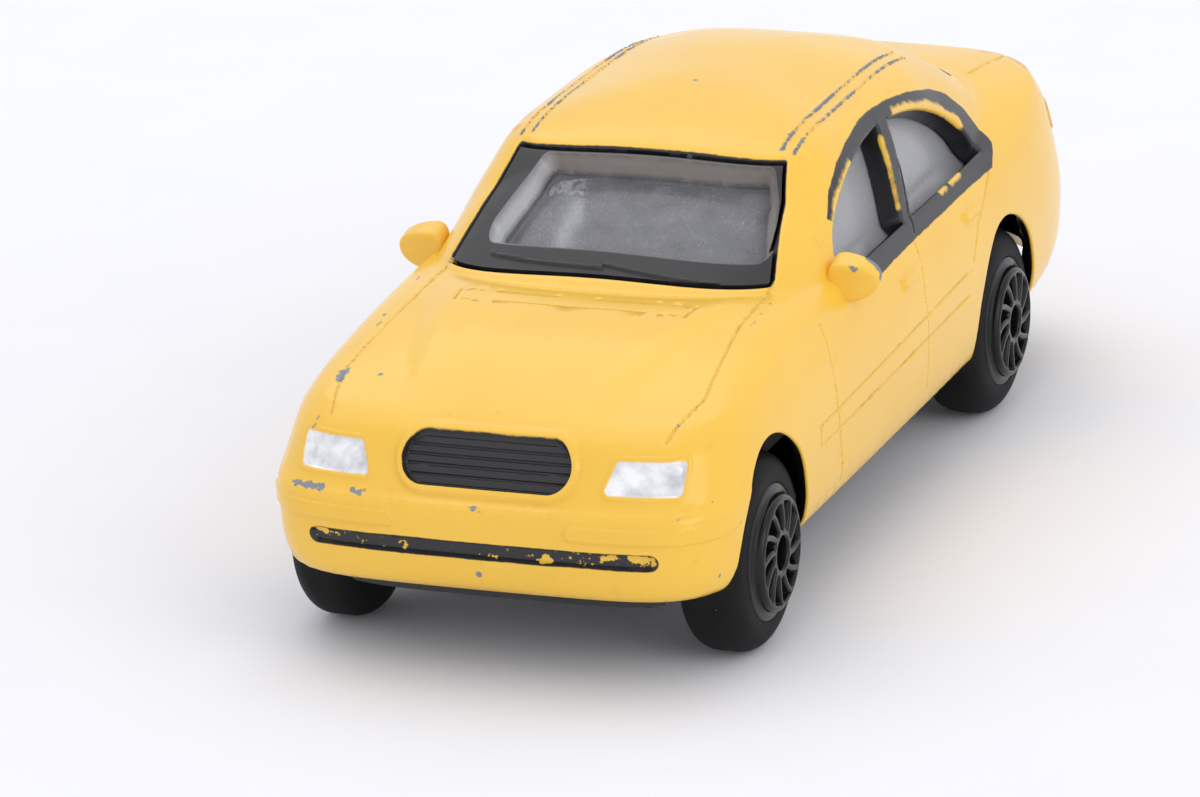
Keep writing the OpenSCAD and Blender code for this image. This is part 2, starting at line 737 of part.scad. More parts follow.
// seat seen from the side, with its front edge at y and its foot in the floor
module seat_shape(y) {
    round_r = tub_t / 2;
    foot_z = tub_z - tub_t / 2;
    offset(round_r, $fn = 16) offset(-round_r) {
        polygon([[y, foot_z], [y, cushion_z], [y + seat_len, cushion_z - round_r],
            [y + seat_len + back_lean, seat_top], [y + seat_len + back_lean + back_t, seat_top],
            [y + seat_len + 2 * tub_t, foot_z]]);
    }
}
module across(width) {
    rotate([90, 0, 90]) linear_extrude(width, center = true) children();
}
module interior_tub() {
    color("#b9bbb8") {
        difference() {
            translate([-tub_w / 2, tub_front, tub_z - tub_t])
                cube([tub_w, tub_rear - tub_front, tub_t]);
            wheel_wells(0, body_h);
        }
        for (s = [-1, 1]) {
            translate([s * (seat_w / 2 + tub_t / 2), 0, 0]) across(seat_w) seat_shape(front_seat_y);
        }
        across(2 * seat_w + tub_t) seat_shape(rear_seat_y);
        across(tub_w) {
            polygon([[tub_front, tub_z - tub_t], [tub_front, dash_z - tub_t],
                [tub_front + tub_t, dash_z], [tub_front + 3 * tub_t, dash_z - tub_t],
                [tub_front + 2 * tub_t, tub_z - tub_t]]);
        }
        for (x = [-1, 1]) {
            for (y = [tub_front + tub_t, rear_axle_y - well_half - tub_t]) {
                translate([x * (tub_w / 2 - tub_t), y, base_top])
                    cylinder(r = tub_t, h = tub_z - tub_t / 2 - base_top, $fn = 24);
            }
        }
    }
}

// Base plate: follows the bottom edge of the body, with wells for the wheels and the rivets and
// a pair of bored bearing blocks on each axle
bearing_out_x = tyre_in_x - 4 * seat_gap;
rivet_well = rivet_head_t + seat_gap;
base_outline = [for (p = half_ring(wall_shares[0], wall_powers, wall_t + seat_gap, 0)) [p.x, p.y]];
module base_plate() {
    color("#232325") difference() {
        union() {
            difference() {
                translate([0, 0, base_z]) linear_extrude(base_t)
                    polygon(concat(base_outline,
                        [for (k = [len(base_outline) - 2:-1:1])
                            [-base_outline[k].x, base_outline[k].y]]));
                wheel_wells(0, body_h);
            }
            for (x = [-1, 1]) {
                for (y = [front_axle_y, rear_axle_y]) {
                    translate([x * (bearing_out_x - bearing_w / 2), y, 0]) {
                        rotate([0, 90, 0]) translate([-axle_z, 0, 0])
                            cylinder(r = block_r, h = bearing_w, center = true, $fn = 48);
                        translate([-bearing_w / 2, -block_r, base_z])
                            cube([bearing_w, 2 * block_r, axle_z - base_z]);
                    }
                }
            }
        }
        for (y = [front_axle_y, rear_axle_y]) {
            translate([-half_w, y, axle_z]) rotate([0, 90, 0])
                cylinder(r = bearing_r, h = body_w, $fn = 48);
        }
        for (y = [front_post_y, rear_post_y]) {
            translate([0, y, base_z - overrun])
                cylinder(r = post_bore, h = base_t + 2 * overrun, $fn = 48);
            translate([0, y, base_z - overrun])
                cylinder(r = rivet_head_d / 2 + seat_gap, h = overrun + rivet_well, $fn = 48);
        }
    }
}

// Wheelsets: the hubs are pressed on the axle, and each tyre is drawn over its hub
hub_in_x = tyre_in_x - seat_gap;
axle_half = tyre_out_x - tyre_w / 3;
module axle(y) {
    color("#a9abad") translate([-axle_half, y, axle_z]) rotate([0, 90, 0])
        cylinder(d = axle_d, h = 2 * axle_half, $fn = 48);
}
// place a wheel piece that is drawn about Z on the left (1) or the right (-1) of an axle
module on_axle(side, y) {
    translate([0, y, axle_z]) mirror([side < 0 ? 1 : 0, 0, 0]) rotate([0, 90, 0]) children();
}
// the openings between the curved spokes
module spoke_gaps() {
    bend_r = disc_d / 2;
    difference() {
        circle(disc_d / 2 - rim_w, $fn = 48);
        circle(hole_d / 2 + rim_w, $fn = 48);
        for (k = [0:spokes - 1]) {
            rotate(360 * k / spokes) translate([0, bend_r]) difference() {
                circle(bend_r + spoke_w / 2, $fn = 48);
                circle(bend_r - spoke_w / 2, $fn = 48);
                translate([-disc_d, -disc_d]) square([disc_d, 2 * disc_d]);
            }
        }
    }
}
module hub(side, y) {
    color("#1d1d1f") on_axle(side, y) difference() {
        rotate_extrude($fn = 64) polygon([[0, hub_in_x], [tyre_bore_d / 2, hub_in_x],
            [tyre_bore_d / 2, tyre_out_x - flange_t], [flange_d / 2, tyre_out_x - flange_t],
            [flange_d / 2, tyre_out_x], [disc_d / 2, tyre_out_x + flange_t / 4],
            [disc_d / 2, hub_face_x - disc_edge], [disc_d / 2 - disc_edge, hub_face_x],
            [0, hub_face_x]]);
        translate([0, 0, hub_in_x - overrun])
            cylinder(d = axle_d, h = axle_half - hub_in_x + overrun, $fn = 48);
        translate([0, 0, axle_half])
            cylinder(d = hole_d, h = hub_face_x - axle_half + overrun, $fn = 48);
        translate([0, 0, hub_face_x - spoke_t]) linear_extrude(spoke_t + overrun) spoke_gaps();
    }
}
module tyre(side, y) {
    color("#2b2b2d") on_axle(side, y) rotate_extrude($fn = 96) difference() {
        union() {
            translate([tyre_bore_d / 2, tyre_in_x + shoulder_r])
                square([tyre_d / 2 - tyre_bore_d / 2, tyre_w - 2 * shoulder_r]);
            translate([tyre_bore_d / 2, tyre_in_x])
                square([tyre_d / 2 - tyre_bore_d / 2 - shoulder_r, tyre_w]);
            for (h = [tyre_in_x + shoulder_r, tyre_out_x - shoulder_r]) {
                translate([tyre_d / 2 - shoulder_r, h]) circle(shoulder_r, $fn = 32);
            }
        }
        translate([0, tyre_in_x - overrun]) square([tyre_bore_d / 2, tyre_w + 2 * overrun]);
        translate([0, tyre_out_x - flange_t]) square([flange_d / 2, flange_t + overrun]);
    }
}
module rivet(y) {
    color("#b5b6b8") translate([0, y, 0]) rotate_extrude($fn = 48) polygon([
        [0, base_z + rivet_well - rivet_head_t],
        [rivet_head_d / 3, base_z + rivet_well - rivet_head_t],
        [rivet_head_d / 2, base_z + rivet_well - rivet_head_t / 2],
        [rivet_head_d / 2, base_z + rivet_well],
        [rivet_d / 2, base_z + rivet_well],
        [rivet_d / 2, base_top + rivet_reach],
        [0, base_top + rivet_reach]]);
}

body_shell();
glazing();
interior_tub();
base_plate();
axle(front_axle_y);  // front_axle
axle(rear_axle_y);  // rear_axle
hub(1, front_axle_y);  // front_left_hub
hub(-1, front_axle_y);  // front_right_hub
hub(1, rear_axle_y);  // rear_left_hub
hub(-1, rear_axle_y);  // rear_right_hub
tyre(1, front_axle_y);  // front_left_tyre
tyre(-1, front_axle_y);  // front_right_tyre
tyre(1, rear_axle_y);  // rear_left_tyre
tyre(-1, rear_axle_y);  // rear_right_tyre
rivet(front_post_y);  // front_rivet
rivet(rear_post_y);  // rear_rivet
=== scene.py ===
# %% [markdown]
# A pocket-size die-cast saloon car, worn by years of play. One zinc casting makes the whole
# body; windows, seats, base and wheels are mouldings that are held inside it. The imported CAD
# model comes in first as a fixed frame: each piece below is drawn in that frame, in the same
# place, so nothing has to be fitted by eye.

import bpy
import numpy as np
from mathutils import Matrix


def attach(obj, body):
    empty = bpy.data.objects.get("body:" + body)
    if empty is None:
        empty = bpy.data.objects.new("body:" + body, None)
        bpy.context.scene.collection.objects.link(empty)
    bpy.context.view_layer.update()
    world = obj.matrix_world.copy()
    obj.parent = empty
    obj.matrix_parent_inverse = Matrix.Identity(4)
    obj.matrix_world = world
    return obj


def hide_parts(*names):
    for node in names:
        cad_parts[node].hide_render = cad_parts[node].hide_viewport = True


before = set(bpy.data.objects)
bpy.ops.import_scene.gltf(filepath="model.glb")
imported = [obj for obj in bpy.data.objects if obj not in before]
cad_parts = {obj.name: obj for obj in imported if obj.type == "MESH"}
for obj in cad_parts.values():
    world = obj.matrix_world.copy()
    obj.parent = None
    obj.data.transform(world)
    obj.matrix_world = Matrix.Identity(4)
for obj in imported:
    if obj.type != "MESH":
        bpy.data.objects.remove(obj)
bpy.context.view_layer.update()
MM = 0.001

# %% [markdown]
# The camera stands where the photographer stood: in front of the car, a little to its left
# and above. A long lens keeps the wheels nearly round. The place was worked out from pairs
# of points that mirror each other across the car, such as the two headlamps.

# %% camera
turn, lift, roll = np.radians([20.94, 18.41, -2.1])
back = np.array([np.sin(turn) * np.cos(lift), -np.cos(turn) * np.cos(lift), np.sin(lift)])
right = np.array([np.cos(turn), np.sin(turn), 0.0])
up = np.cross(back, right)
columns = [np.cos(roll) * right + np.sin(roll) * up, np.cos(roll) * up - np.sin(roll) * right, back]
place = np.eye(4)
place[:3, :3] = np.stack(columns, 1)
place[:3, 3] = np.array([152.624, -414.528, 152.482]) * MM
lens = bpy.data.cameras.new("studio_camera")
lens.sensor_width, lens.lens, lens.clip_start = 36, 240, 0.01
camera = bpy.data.objects.new("studio_camera", lens)
camera.matrix_world = Matrix(place.tolist())
bpy.context.scene.collection.objects.link(camera)
bpy.context.scene.camera = camera
bpy.context.scene.view_settings.view_transform = "Standard"
print("camera distance in mm:", round(float(np.linalg.norm(place[:3, 3])) / MM))

# %% [markdown]
# Everything that is painted or moulded needs a procedural material, so a few small helpers come
# first: one turns a colour as it is written for the screen into the linear light that the
# renderer counts in, one adds a shader node with its settings and links, and one scatters spots.

# %% colours and shader nodes
def colour(code):
    """Linear red, green, blue and alpha from an sRGB hex code: the standard's curve undone."""
    c = np.array([int(code[k:k + 2], 16) for k in (1, 3, 5)]) / 255
    c = np.where(c <= 0.04045, c / 12.92, ((c + 0.055) / 1.055) ** 2.4)
    return (*c.tolist(), 1.0)


def add(tree, kind, settings=None, links=None, out=None):
    """Adds a node: settings fill its options or inputs, links join outputs to its inputs. It
    returns the output with that name, or else the node's first live one."""
    made = tree.nodes.new("ShaderNode" + kind)
    for key, value in (settings or {}).items():
        if isinstance(key, str) and hasattr(made, key):
            setattr(made, key, value)
        else:
            made.inputs[key].default_value = value
    for key, source in (links or {}).items():
        tree.links.new(source, made.inputs[key])
    return made.outputs[out] if out else next((o for o in made.outputs if o.enabled), None)


def new_material(name):
    """An empty material, its node tree, and the Object coordinates that its patterns read."""
    material = bpy.data.materials.new(name)
    material.use_nodes = True
    tree = material.node_tree
    tree.nodes.clear()
    return material, tree, add(tree, "TexCoord", out="Object")


def finish_material(material, shader):
    """Joins the last shader to the surface of the material."""
    add(material.node_tree, "OutputMaterial", links={"Surface": shader})
    return material


def per_mm(size):
    """Scale of a pattern whose features are size millimetres wide, on coordinates in metres."""
    return 1 / (size * MM)


def few_spots(tree, at, size, share):
    """Spots round the points of a random lattice, about size mm apart: the distance to the nearest
    point, and 1 where that point's own random number is above a share, else 0."""
    cells = tree.nodes.new("ShaderNodeTexVoronoi")
    cells.inputs["Scale"].default_value = per_mm(size)
    tree.links.new(at, cells.inputs["Vector"])
    lucky = add(tree, "SeparateColor", {}, {"Color": cells.outputs["Color"]}, out="Red")
    few = add(tree, "Math", {"operation": "GREATER_THAN", 1: share}, {0: lucky})
    return cells.outputs["Distance"], few


YELLOW = "#f7c94b"
print("yellow in linear light:", [round(v, 3) for v in colour(YELLOW)])

# %% [markdown]
# The toy stands on white paper that runs out of the picture on all sides, in a white room
# with two soft lamps: a big one high up behind the car, a little to its right, and one at its
# left, ahead of it. The paper is almost white but takes shadow, so the car stays on the ground.
# The room counts fully for what the camera, shiny things and glass see, and a little less as a
# lamp, which leaves the two lamps to shape the body.

# %% paper, room and lamps
def paper():
    """Smooth white paper: nearly white and matt, with the faint cloudiness of pressed pulp."""
    material, tree, at = new_material("pressed_white_paper")
    cloud = add(tree, "TexNoise", {"Scale": per_mm(9), "Detail": 3.0}, {"Vector": at})
    tone = add(tree, "Mix", {"data_type": "RGBA", 6: colour("#eff0f4"), 7: colour("#f3f4f7")},
               {0: cloud})
    return finish_material(material, add(tree, "BsdfPrincipled", {"Roughness": 0.9, "IOR": 1.3},
                                         {"Base Color": tone}))


def sheet_mesh(half):
    """A level square on the ground, half its side from the middle, as a 2 by 2 grid of points."""
    u = np.array([-half, half])
    x, y = np.meshgrid(u, u)
    mesh = bpy.data.meshes.new("paper_floor")
    points = np.stack([x.ravel(), y.ravel(), 0 * x.ravel()], 1)
    mesh.from_pydata(points.tolist(), [], [(0, 1, 3, 2)])
    return mesh


PAPER_HALF = 3.0  # metres
floor = bpy.data.objects.new("paper_floor", sheet_mesh(PAPER_HALF))
floor.data.materials.append(paper())
bpy.context.scene.collection.objects.link(floor)

world = bpy.data.worlds.new("white_room")
bpy.context.scene.world = world
world.use_nodes = True
air = world.node_tree
air.nodes.clear()
ROOM_LIGHT = 0.9
rays = air.nodes.new("ShaderNodeLightPath").outputs
seen = add(air, "Math", {"operation": "MAXIMUM"},
           {0: rays["Is Camera Ray"], 1: rays["Is Glossy Ray"]})
seen = add(air, "Math", {"operation": "MAXIMUM"}, {0: seen, 1: rays["Is Transmission Ray"]})
level = add(air, "MapRange", {"To Min": ROOM_LIGHT, "To Max": 1.0}, {"Value": seen})
room = add(air, "Background", {"Color": colour("#fbfbff")}, {"Strength": level})
add(air, "OutputWorld", links={"Surface": room})


def soft_lamp(name, at, to, size, power):
    """A square area lamp, in mm and watts: its -Z axis points from its place to a point."""
    light = bpy.data.lights.new(name, "AREA")
    light.shape, light.size, light.energy = "SQUARE", size * MM, power
    away = np.array(at, float) - np.array(to, float)
    away /= np.linalg.norm(away)
    side = np.cross((0, 1, 0.01), away)
    side /= np.linalg.norm(side)
    pose = np.eye(4)
    pose[:3, :3] = np.stack([side, np.cross(away, side), away], 1)
    pose[:3, 3] = np.array(at) * MM
    lamp = bpy.data.objects.new(name, light)
    lamp.matrix_world = Matrix(pose.tolist())
    bpy.context.scene.collection.objects.link(lamp)


CAR_MIDDLE = (0, 0, 10)
soft_lamp("big_soft_lamp", (-120, 140, 420), CAR_MIDDLE, size=420, power=0.45)
soft_lamp("side_soft_lamp", (380, -220, 240), CAR_MIDDLE, size=300, power=0.42)
print("room light:", ROOM_LIGHT, "lamps:", len(bpy.data.lights))

# %% [markdown]
# The body is a loft: rows of rounded outlines, one above the other, from the bottom edge over
# the wall, the deck and the cabin to the middle of the roof. It could be modelled by pushing a
# box about, but then every later shape would have to follow it by hand. As a formula of two
# numbers, one along the outline and one up the rows, any line or window can be laid on it.

# %% the loft of the body
HALF_W, HALF_L, BODY_H = 14.0, 34.9, 24.1
# Each row: shares of half width, half length at nose and tail, and height at nose, side, tail.
WALL_ROWS = np.array([
    [0.915, -0.960, 0.948, 0.211, 0.207, 0.235], [0.962, -0.986, 0.977, 0.229, 0.229, 0.266],
    [0.986, -0.997, 0.994, 0.278, 0.286, 0.315], [0.996, -1.000, 1.000, 0.340, 0.356, 0.382],
    [1.000, -0.999, 0.998, 0.416, 0.424, 0.440], [0.994, -0.978, 0.988, 0.438, 0.481, 0.510],
    [0.975, -0.957, 0.979, 0.490, 0.540, 0.589], [0.945, -0.935, 0.965, 0.548, 0.597, 0.680],
    [0.907, -0.897, 0.946, 0.589, 0.639, 0.735]])
CABIN_ROWS = np.array([
    [0.871, -0.479, 0.771, 0.707, 0.676, 0.763], [0.829, -0.393, 0.705, 0.780, 0.746, 0.814],
    [0.771, -0.301, 0.622, 0.855, 0.825, 0.875], [0.693, -0.221, 0.533, 0.908, 0.908, 0.925],
    [0.614, -0.172, 0.476, 0.938, 0.938, 0.950]])
# Powers of the rounded outlines: nose across, nose along, tail across, tail along.
WALL_POWERS, CABIN_POWERS = (7, 12, 5.5, 8), (3.3, 4.2, 3.6, 4.6)
CROWN_Y, MID_Y, NOSE_Y, TAIL_Y = np.array([0.198, 0.026, -0.232, 0.427]) * HALF_L
# Where the nose ends and the tail starts along an outline from 0 to 1.
NOSE_END, TAIL_START = 0.2, 0.82
# Share by which corners are drawn in, and powers that bend the heights towards nose and tail and up
# the deck.
CORNER_SHARE, HEIGHT_POWER, DECK_POWER = 0.012, 1.2, 1.7
# The raised hood: height, width of its slope, power of its rise, and shares of half width at which
# it ends, at the nose and more at the cowl. The crown draws in this share of the roof's length.
HOOD_H, HOOD_RAMP, HOOD_POWER = 0.5, 1.82, 0.7
HOOD_SHARE, COWL_SHARE, CROWN_SHARE = 0.36, 0.26, 0.85


def through_rows(rows, s):
    """Rows at places s from 0 to 1: a cubic between two rows whose slope at each row is half
    the step between its neighbours."""
    n = len(rows) - 1
    k = np.clip((s * n).astype(int), 0, n - 1)
    t = (s * n - k)[:, None]
    a, b, c, d = (rows[np.clip(k + i, 0, n)] for i in (-1, 0, 1, 2))
    return (2 * b + (c - a) * t + (2 * a - 5 * b + 4 * c - d) * t**2
            + (3 * b - a - 3 * c + d) * t**3) / 2


def outline(row, powers, c):
    """Half an outline from nose to tail: |u|^across + |v|^along = 1, stretched to the row's
    half width, nose and tail, with the heights blended towards both ends."""
    nose, tail = c < NOSE_END, c > TAIL_START
    t = np.select([nose, tail], [c / NOSE_END, (c - TAIL_START) / (1 - TAIL_START)],
                  (c - NOSE_END) / (TAIL_START - NOSE_END))
    ahead = nose | (~tail & (t < 0.5))
    across = np.where(ahead, powers[0], powers[2])
    along = np.where(ahead, powers[1], powers[3])
    end_u = 0.5 ** (1 / across) * np.where(nose, t, 1 - t)
    end_v = np.where(nose, -1, 1) * (1 - end_u**across) ** (1 / along)
    side_v = 0.5 ** (1 / along) * (2 * t - 1)
    side_u = (1 - np.abs(side_v) ** along) ** (1 / across)
    u, v = np.where(nose | tail, [end_u, end_v], [side_u, side_v])
    half, front, rear = row[:, 0] * HALF_W, row[:, 1] * HALF_L, row[:, 2] * HALF_L
    reach = np.where(v < 0, MID_Y - front, rear - MID_Y)
    y = MID_Y + reach * v * (1 - CORNER_SHARE * u**2 * np.abs(v) ** 3)
    f = np.clip((NOSE_Y - y) / np.maximum(NOSE_Y - front, 0.01), 0, 1) ** HEIGHT_POWER
    r = np.clip((y - TAIL_Y) / (rear - TAIL_Y), 0, 1) ** HEIGHT_POWER
    z = (row[:, 4] + (row[:, 3] - row[:, 4]) * f + (row[:, 5] - row[:, 4]) * r) * BODY_H
    return np.stack([half * u * (1 - CORNER_SHARE * v**2), y, z], 1)


def fill(distance, ramp):
    """1 inside a shape and 0 outside, with a smooth ramp just inside its outline."""
    t = np.clip(-distance / ramp, 0, 1)
    return t * t * (3 - 2 * t)


def body_point(cv):
    """Point of the left half of the body at c along the outline and v up the rows: 0 to 1 is
    the wall, 1 to 2 the deck, 2 to 3 the cabin, and 3 to 4 draws the roof in to its middle. The
    middle of the hood is raised, and its edges run together towards the grille."""
    c, v = cv.T
    low = outline(through_rows(WALL_ROWS, np.clip(v, 0, 1)), WALL_POWERS, c)
    high = outline(through_rows(CABIN_ROWS, np.clip(v - 2, 0, 1)), CABIN_POWERS, c)
    d, e = np.clip(v - 1, 0, 1), np.clip(v - 3, 0, 1)
    p = low + (high - low) * d[:, None]
    share = (p[:, 1] / HALF_L - WALL_ROWS[0, 1]) / (CABIN_ROWS[0, 1] - WALL_ROWS[0, 1])
    edge = (HOOD_SHARE + COWL_SHARE * np.clip(share, 0, 1)) * HALF_W
    swell = fill(np.abs(p[:, 0]) - edge - HOOD_RAMP / 2, HOOD_RAMP) * (p[:, 1] < MID_Y)
    p[:, 2] = low[:, 2] + (high - low)[:, 2] * (1 - (1 - d) ** DECK_POWER) \
        + HOOD_H * np.maximum(np.sin(np.pi * d), 0) ** HOOD_POWER * swell
    p[:, 0] *= 1 - e
    p[:, 1] += (CROWN_Y - p[:, 1]) * e * CROWN_SHARE
    p[:, 2] += (BODY_H - p[:, 2]) * (1 - (1 - e) ** 2)
    return p


def body_normal(cv):
    """Outward unit normal: the cross product of the steps along the outline and up the rows."""
    step, top = 2e-3, np.array([1.0, 4.0])
    ends = [np.clip(cv + np.array(s) * step, 0, top) for s in ((1, 0), (-1, 0), (0, 1), (0, -1))]
    a, b, c, d = (body_point(q) for q in ends)
    n = np.cross(a - b, c - d)
    n[np.abs(body_point(cv)[:, 0]) < 1e-9, 0] = 0
    return n / np.maximum(np.linalg.norm(n, axis=1), 1e-12)[:, None]


print("nose, side and roof of the loft:", np.round(body_point(np.array(
    [[0, 0.4], [0.5, 0.5], [0.5, 4.0]])), 2).tolist())

# %% [markdown]
# A window edge or a shut line runs across the grid at a slant. A fine grid everywhere would
# cost millions of faces, so the grid stays coarse and is split where something happens: first
# long edges are halved near a shape, then edges that cross an outline are cut exactly there.
# Both are the same step, with another place along the edge.

# %% splitting a grid along outlines
# In mm: a point this close to x = 0 lies in the middle of the car, a corner this close to an
# outline lies on it, and the other points of a half stay this far from the middle.
NEAR, ON_LINE, OFF_MIDDLE = 1e-7, 0.004, 1e-3


def grid(cs, vs):
    """Triangles over the parameter grid cs by vs."""
    c, v = np.meshgrid(cs, vs)
    n, m = len(cs), len(vs)
    a = (np.arange(m - 1)[:, None] * n + np.arange(n - 1)).ravel()
    return np.stack([c.ravel(), v.ravel()], 1), np.concatenate(
        [np.stack([a, a + 1, a + n + 1], 1), np.stack([a, a + n + 1, a + n], 1)])


def edges_of(tri, n):
    """Every edge once, as pairs of corners, and for each triangle the numbers of its edges."""
    pair = np.sort(np.stack([tri, np.roll(tri, -1, 1)], -1).reshape(-1, 2), 1)
    key, number = np.unique(pair[:, 0] * n + pair[:, 1], return_inverse=True)
    return np.stack([key // n, key % n], 1), number.reshape(-1, 3)


def split(cv, tri, edge, number, share):
    """Puts a new corner at that share of each edge (0 leaves the edge whole), and cuts each
    triangle in two, three or four along them."""
    cut = share > 0
    new = np.full(len(edge), -1)
    new[cut] = len(cv) + np.arange(cut.sum())
    s = share[cut][:, None]
    cv = np.vstack([cv, cv[edge[cut, 0]] * (1 - s) + cv[edge[cut, 1]] * s])
    mid = new[number]
    count = (mid >= 0).sum(1)
    first = np.where(count == 1, (mid >= 0).argmax(1), (mid >= 0).argmin(1) + 1)
    turn = (np.arange(3) + np.where((count == 1) | (count == 2), first, 0)[:, None]) % 3
    t, m = np.take_along_axis(tri, turn, 1), np.take_along_axis(mid, turn, 1)
    ways = {0: ["abc"], 1: ["apc", "pbc"], 2: ["pbq", "apq", "aqc"],
            3: ["apr", "pbq", "rqc", "pqr"]}
    parts = []
    for k, corners in ways.items():
        here = dict(zip("abcpqr", np.hstack([t, m])[count == k].T))
        parts += [np.stack([here[x] for x in way], 1) for way in corners]
    return cv, np.concatenate(parts)


def free_edges(p, edge, number, keep_rim):
    """Which edges may be cut: all, or with keep_rim those that two triangles share or that lie in
    the middle of the car."""
    shared = np.bincount(number.ravel(), minlength=len(edge)) > 1
    return shared | (np.abs(p[edge, 0]) < NEAR).all(1) | (not keep_rim)


def refine(cv, tri, want, passes, keep_rim=False):
    """Halves edges that are longer than the length wanted at their middle."""
    for _ in range(passes):
        edge, number = edges_of(tri, len(cv))
        p = body_point(cv)
        length = np.linalg.norm(p[edge[:, 0]] - p[edge[:, 1]], axis=1)
        long = length > want(body_point((cv[edge[:, 0]] + cv[edge[:, 1]]) / 2))
        long &= free_edges(p, edge, number, keep_rim)
        cv, tri = split(cv, tri, edge, number, 0.5 * long)
    return cv, tri


def score(cv, tri, shape, level=0.0, keep_rim=False):
    """Cuts all edges where a signed distance passes through a level, so that the outline of
    the shape runs along edges from there on."""
    p = body_point(cv)
    f = shape(p) - level
    f[np.abs(f) < ON_LINE] = 0
    edge, number = edges_of(tri, len(cv))
    a, b = f[edge[:, 0]], f[edge[:, 1]]
    crossed = (a * b < 0) & free_edges(p, edge, number, keep_rim)
    return split(cv, tri, edge, number, np.where(crossed, a / np.where(crossed, a - b, 1), 0))


def kept(cv, tri, wanted):
    """Only the triangles that are wanted, with the corners that they use."""
    used, tri = np.unique(tri[wanted], return_inverse=True)
    return cv[used], tri.reshape(-1, 3)


def mirrored(p, tri, *values):
    """Adds the right half: the same points with x turned round, sharing those at x = 0, and
    the triangles walked the other way."""
    own = np.abs(p[:, 0]) > NEAR
    index = np.where(own, len(p) + np.cumsum(own) - 1, np.arange(len(p)))
    both = [np.concatenate([v, v[own]]) for v in values]
    points = np.concatenate([p, p[own] * (-1, 1, 1)])
    return points, np.concatenate([tri, index[tri][:, ::-1]]), *both


def thickened(outer, tri, inner, inner_tri):
    """A closed shell, or half of one: the outer points, the inner ones with triangles turned
    round, and a strip along each open edge off the middle. The first outer points are those of
    the inside, so the inside may be coarser."""
    n, m = len(outer), len(inner)
    edge = np.stack([inner_tri, np.roll(inner_tri, -1, 1)], -1).reshape(-1, 2)
    lone = ~np.isin(edge[:, 0] * m + edge[:, 1], edge[:, 1] * m + edge[:, 0])
    a, b = edge[lone & (np.abs(inner[edge, 0]) > NEAR).any(1)].T
    rim = np.concatenate([np.stack([b, a, a + n], 1), np.stack([b, a + n, b + n], 1)])
    return np.concatenate([outer, inner]), np.concatenate([tri, inner_tri[:, ::-1] + n, rim])


def on_left(points, smooth):
    """Points on the left half, with those of the middle exactly in the middle."""
    x = np.where(np.abs(smooth[:, 0]) < NEAR, 0, np.maximum(points[:, 0], OFF_MIDDLE))
    return np.concatenate([x[:, None], points[:, 1:]], 1)


def make_piece(name, points, faces, material, body, slot, sharp=None, **values):
    """A mesh object at the origin, in metres, smooth but for edges over an angle in degrees,
    with a value per point for each named attribute. It rides on a body of the frame."""
    mesh = bpy.data.meshes.new(name)
    faces = np.asarray(faces)
    mesh.vertices.add(len(points))
    mesh.vertices.foreach_set("co", (points * MM).astype(np.float32).ravel())
    mesh.loops.add(faces.size)
    mesh.loops.foreach_set("vertex_index", faces.astype(np.int32).ravel())
    mesh.polygons.add(len(faces))
    mesh.polygons.foreach_set("loop_start", np.arange(0, faces.size, 3, dtype=np.int32))
    mesh.update(calc_edges=True)
    mesh.shade_smooth()
    if sharp:
        mesh.set_sharp_from_angle(angle=np.radians(sharp))
    for key, value in values.items():
        attribute = mesh.attributes.new(key, "FLOAT", "POINT")
        attribute.data.foreach_set("value", value.astype(np.float32))
    mesh.validate()
    mesh.materials.append(material)
    piece = bpy.data.objects.new(name, mesh)
    bpy.context.scene.collection.objects.link(piece)
    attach(piece, body)
    print(name, "triangles:", len(faces))
    return piece

# %% [markdown]
# What is cast into the body or painted on it is given as signed distances in millimetres:
# below zero inside a shape, above zero outside. One such number per point serves three times:
# it says where to split the grid, how far to lift or sink the surface, and where paint ends.
# Shapes are drawn flat, as seen from the side, the front or above, and fall onto the body.

# %% signed distances
def stroke(p, q, points, width):
    """Distance to the nearest piece of a line through points, less half the line's width."""
    a, b = np.array(points[:-1], float), np.array(points[1:], float)
    best = np.full(len(p), np.inf)
    for start, way in zip(a, b - a):
        x, y = p - start[0], q - start[1]
        t = np.clip((x * way[0] + y * way[1]) / (way @ way), 0, 1)
        best = np.minimum(best, (x - t * way[0]) ** 2 + (y - t * way[1]) ** 2)
    return np.sqrt(best) - width / 2


def region(p, q, points, corner=0.0):
    """Distance to a closed outline, below zero inside, where a ray crosses it an odd number of
    times. The corners are rounded by moving the outline out."""
    a = np.array(points, float)
    b = np.roll(a, -1, 0)
    inside = np.zeros(len(p), bool)
    for (x0, y0), (x1, y1) in zip(a, b):
        if y0 != y1:
            inside ^= ((y0 > q) != (y1 > q)) & (p < (x1 - x0) * (q - y0) / (y1 - y0) + x0)
    away = stroke(p, q, np.vstack([a, a[:1]]), 0.0)
    return np.where(inside, -away, away) - corner


def union(*shapes):
    """The nearest of several shapes."""
    return np.min(shapes, axis=0)


def overlap(*shapes):
    """What all shapes share: the furthest of them."""
    return np.max(shapes, axis=0)


print("from (3, 4) to a line 2 mm wide along x:",
      stroke(np.array([3.0]), np.array([4.0]), [(0, 0), (9, 0)], 2.0).tolist())

# %% windows and wheel arches
FRONT_AXLE_Y, REAR_AXLE_Y, AXLE_Z = -25.05, 17.35, 5.6
# What is drawn from the side lies on the cabin, the wall or the doors where x is above these.
CABIN_X, WALL_X, DOOR_X = 6.0, 9.0, 10.0
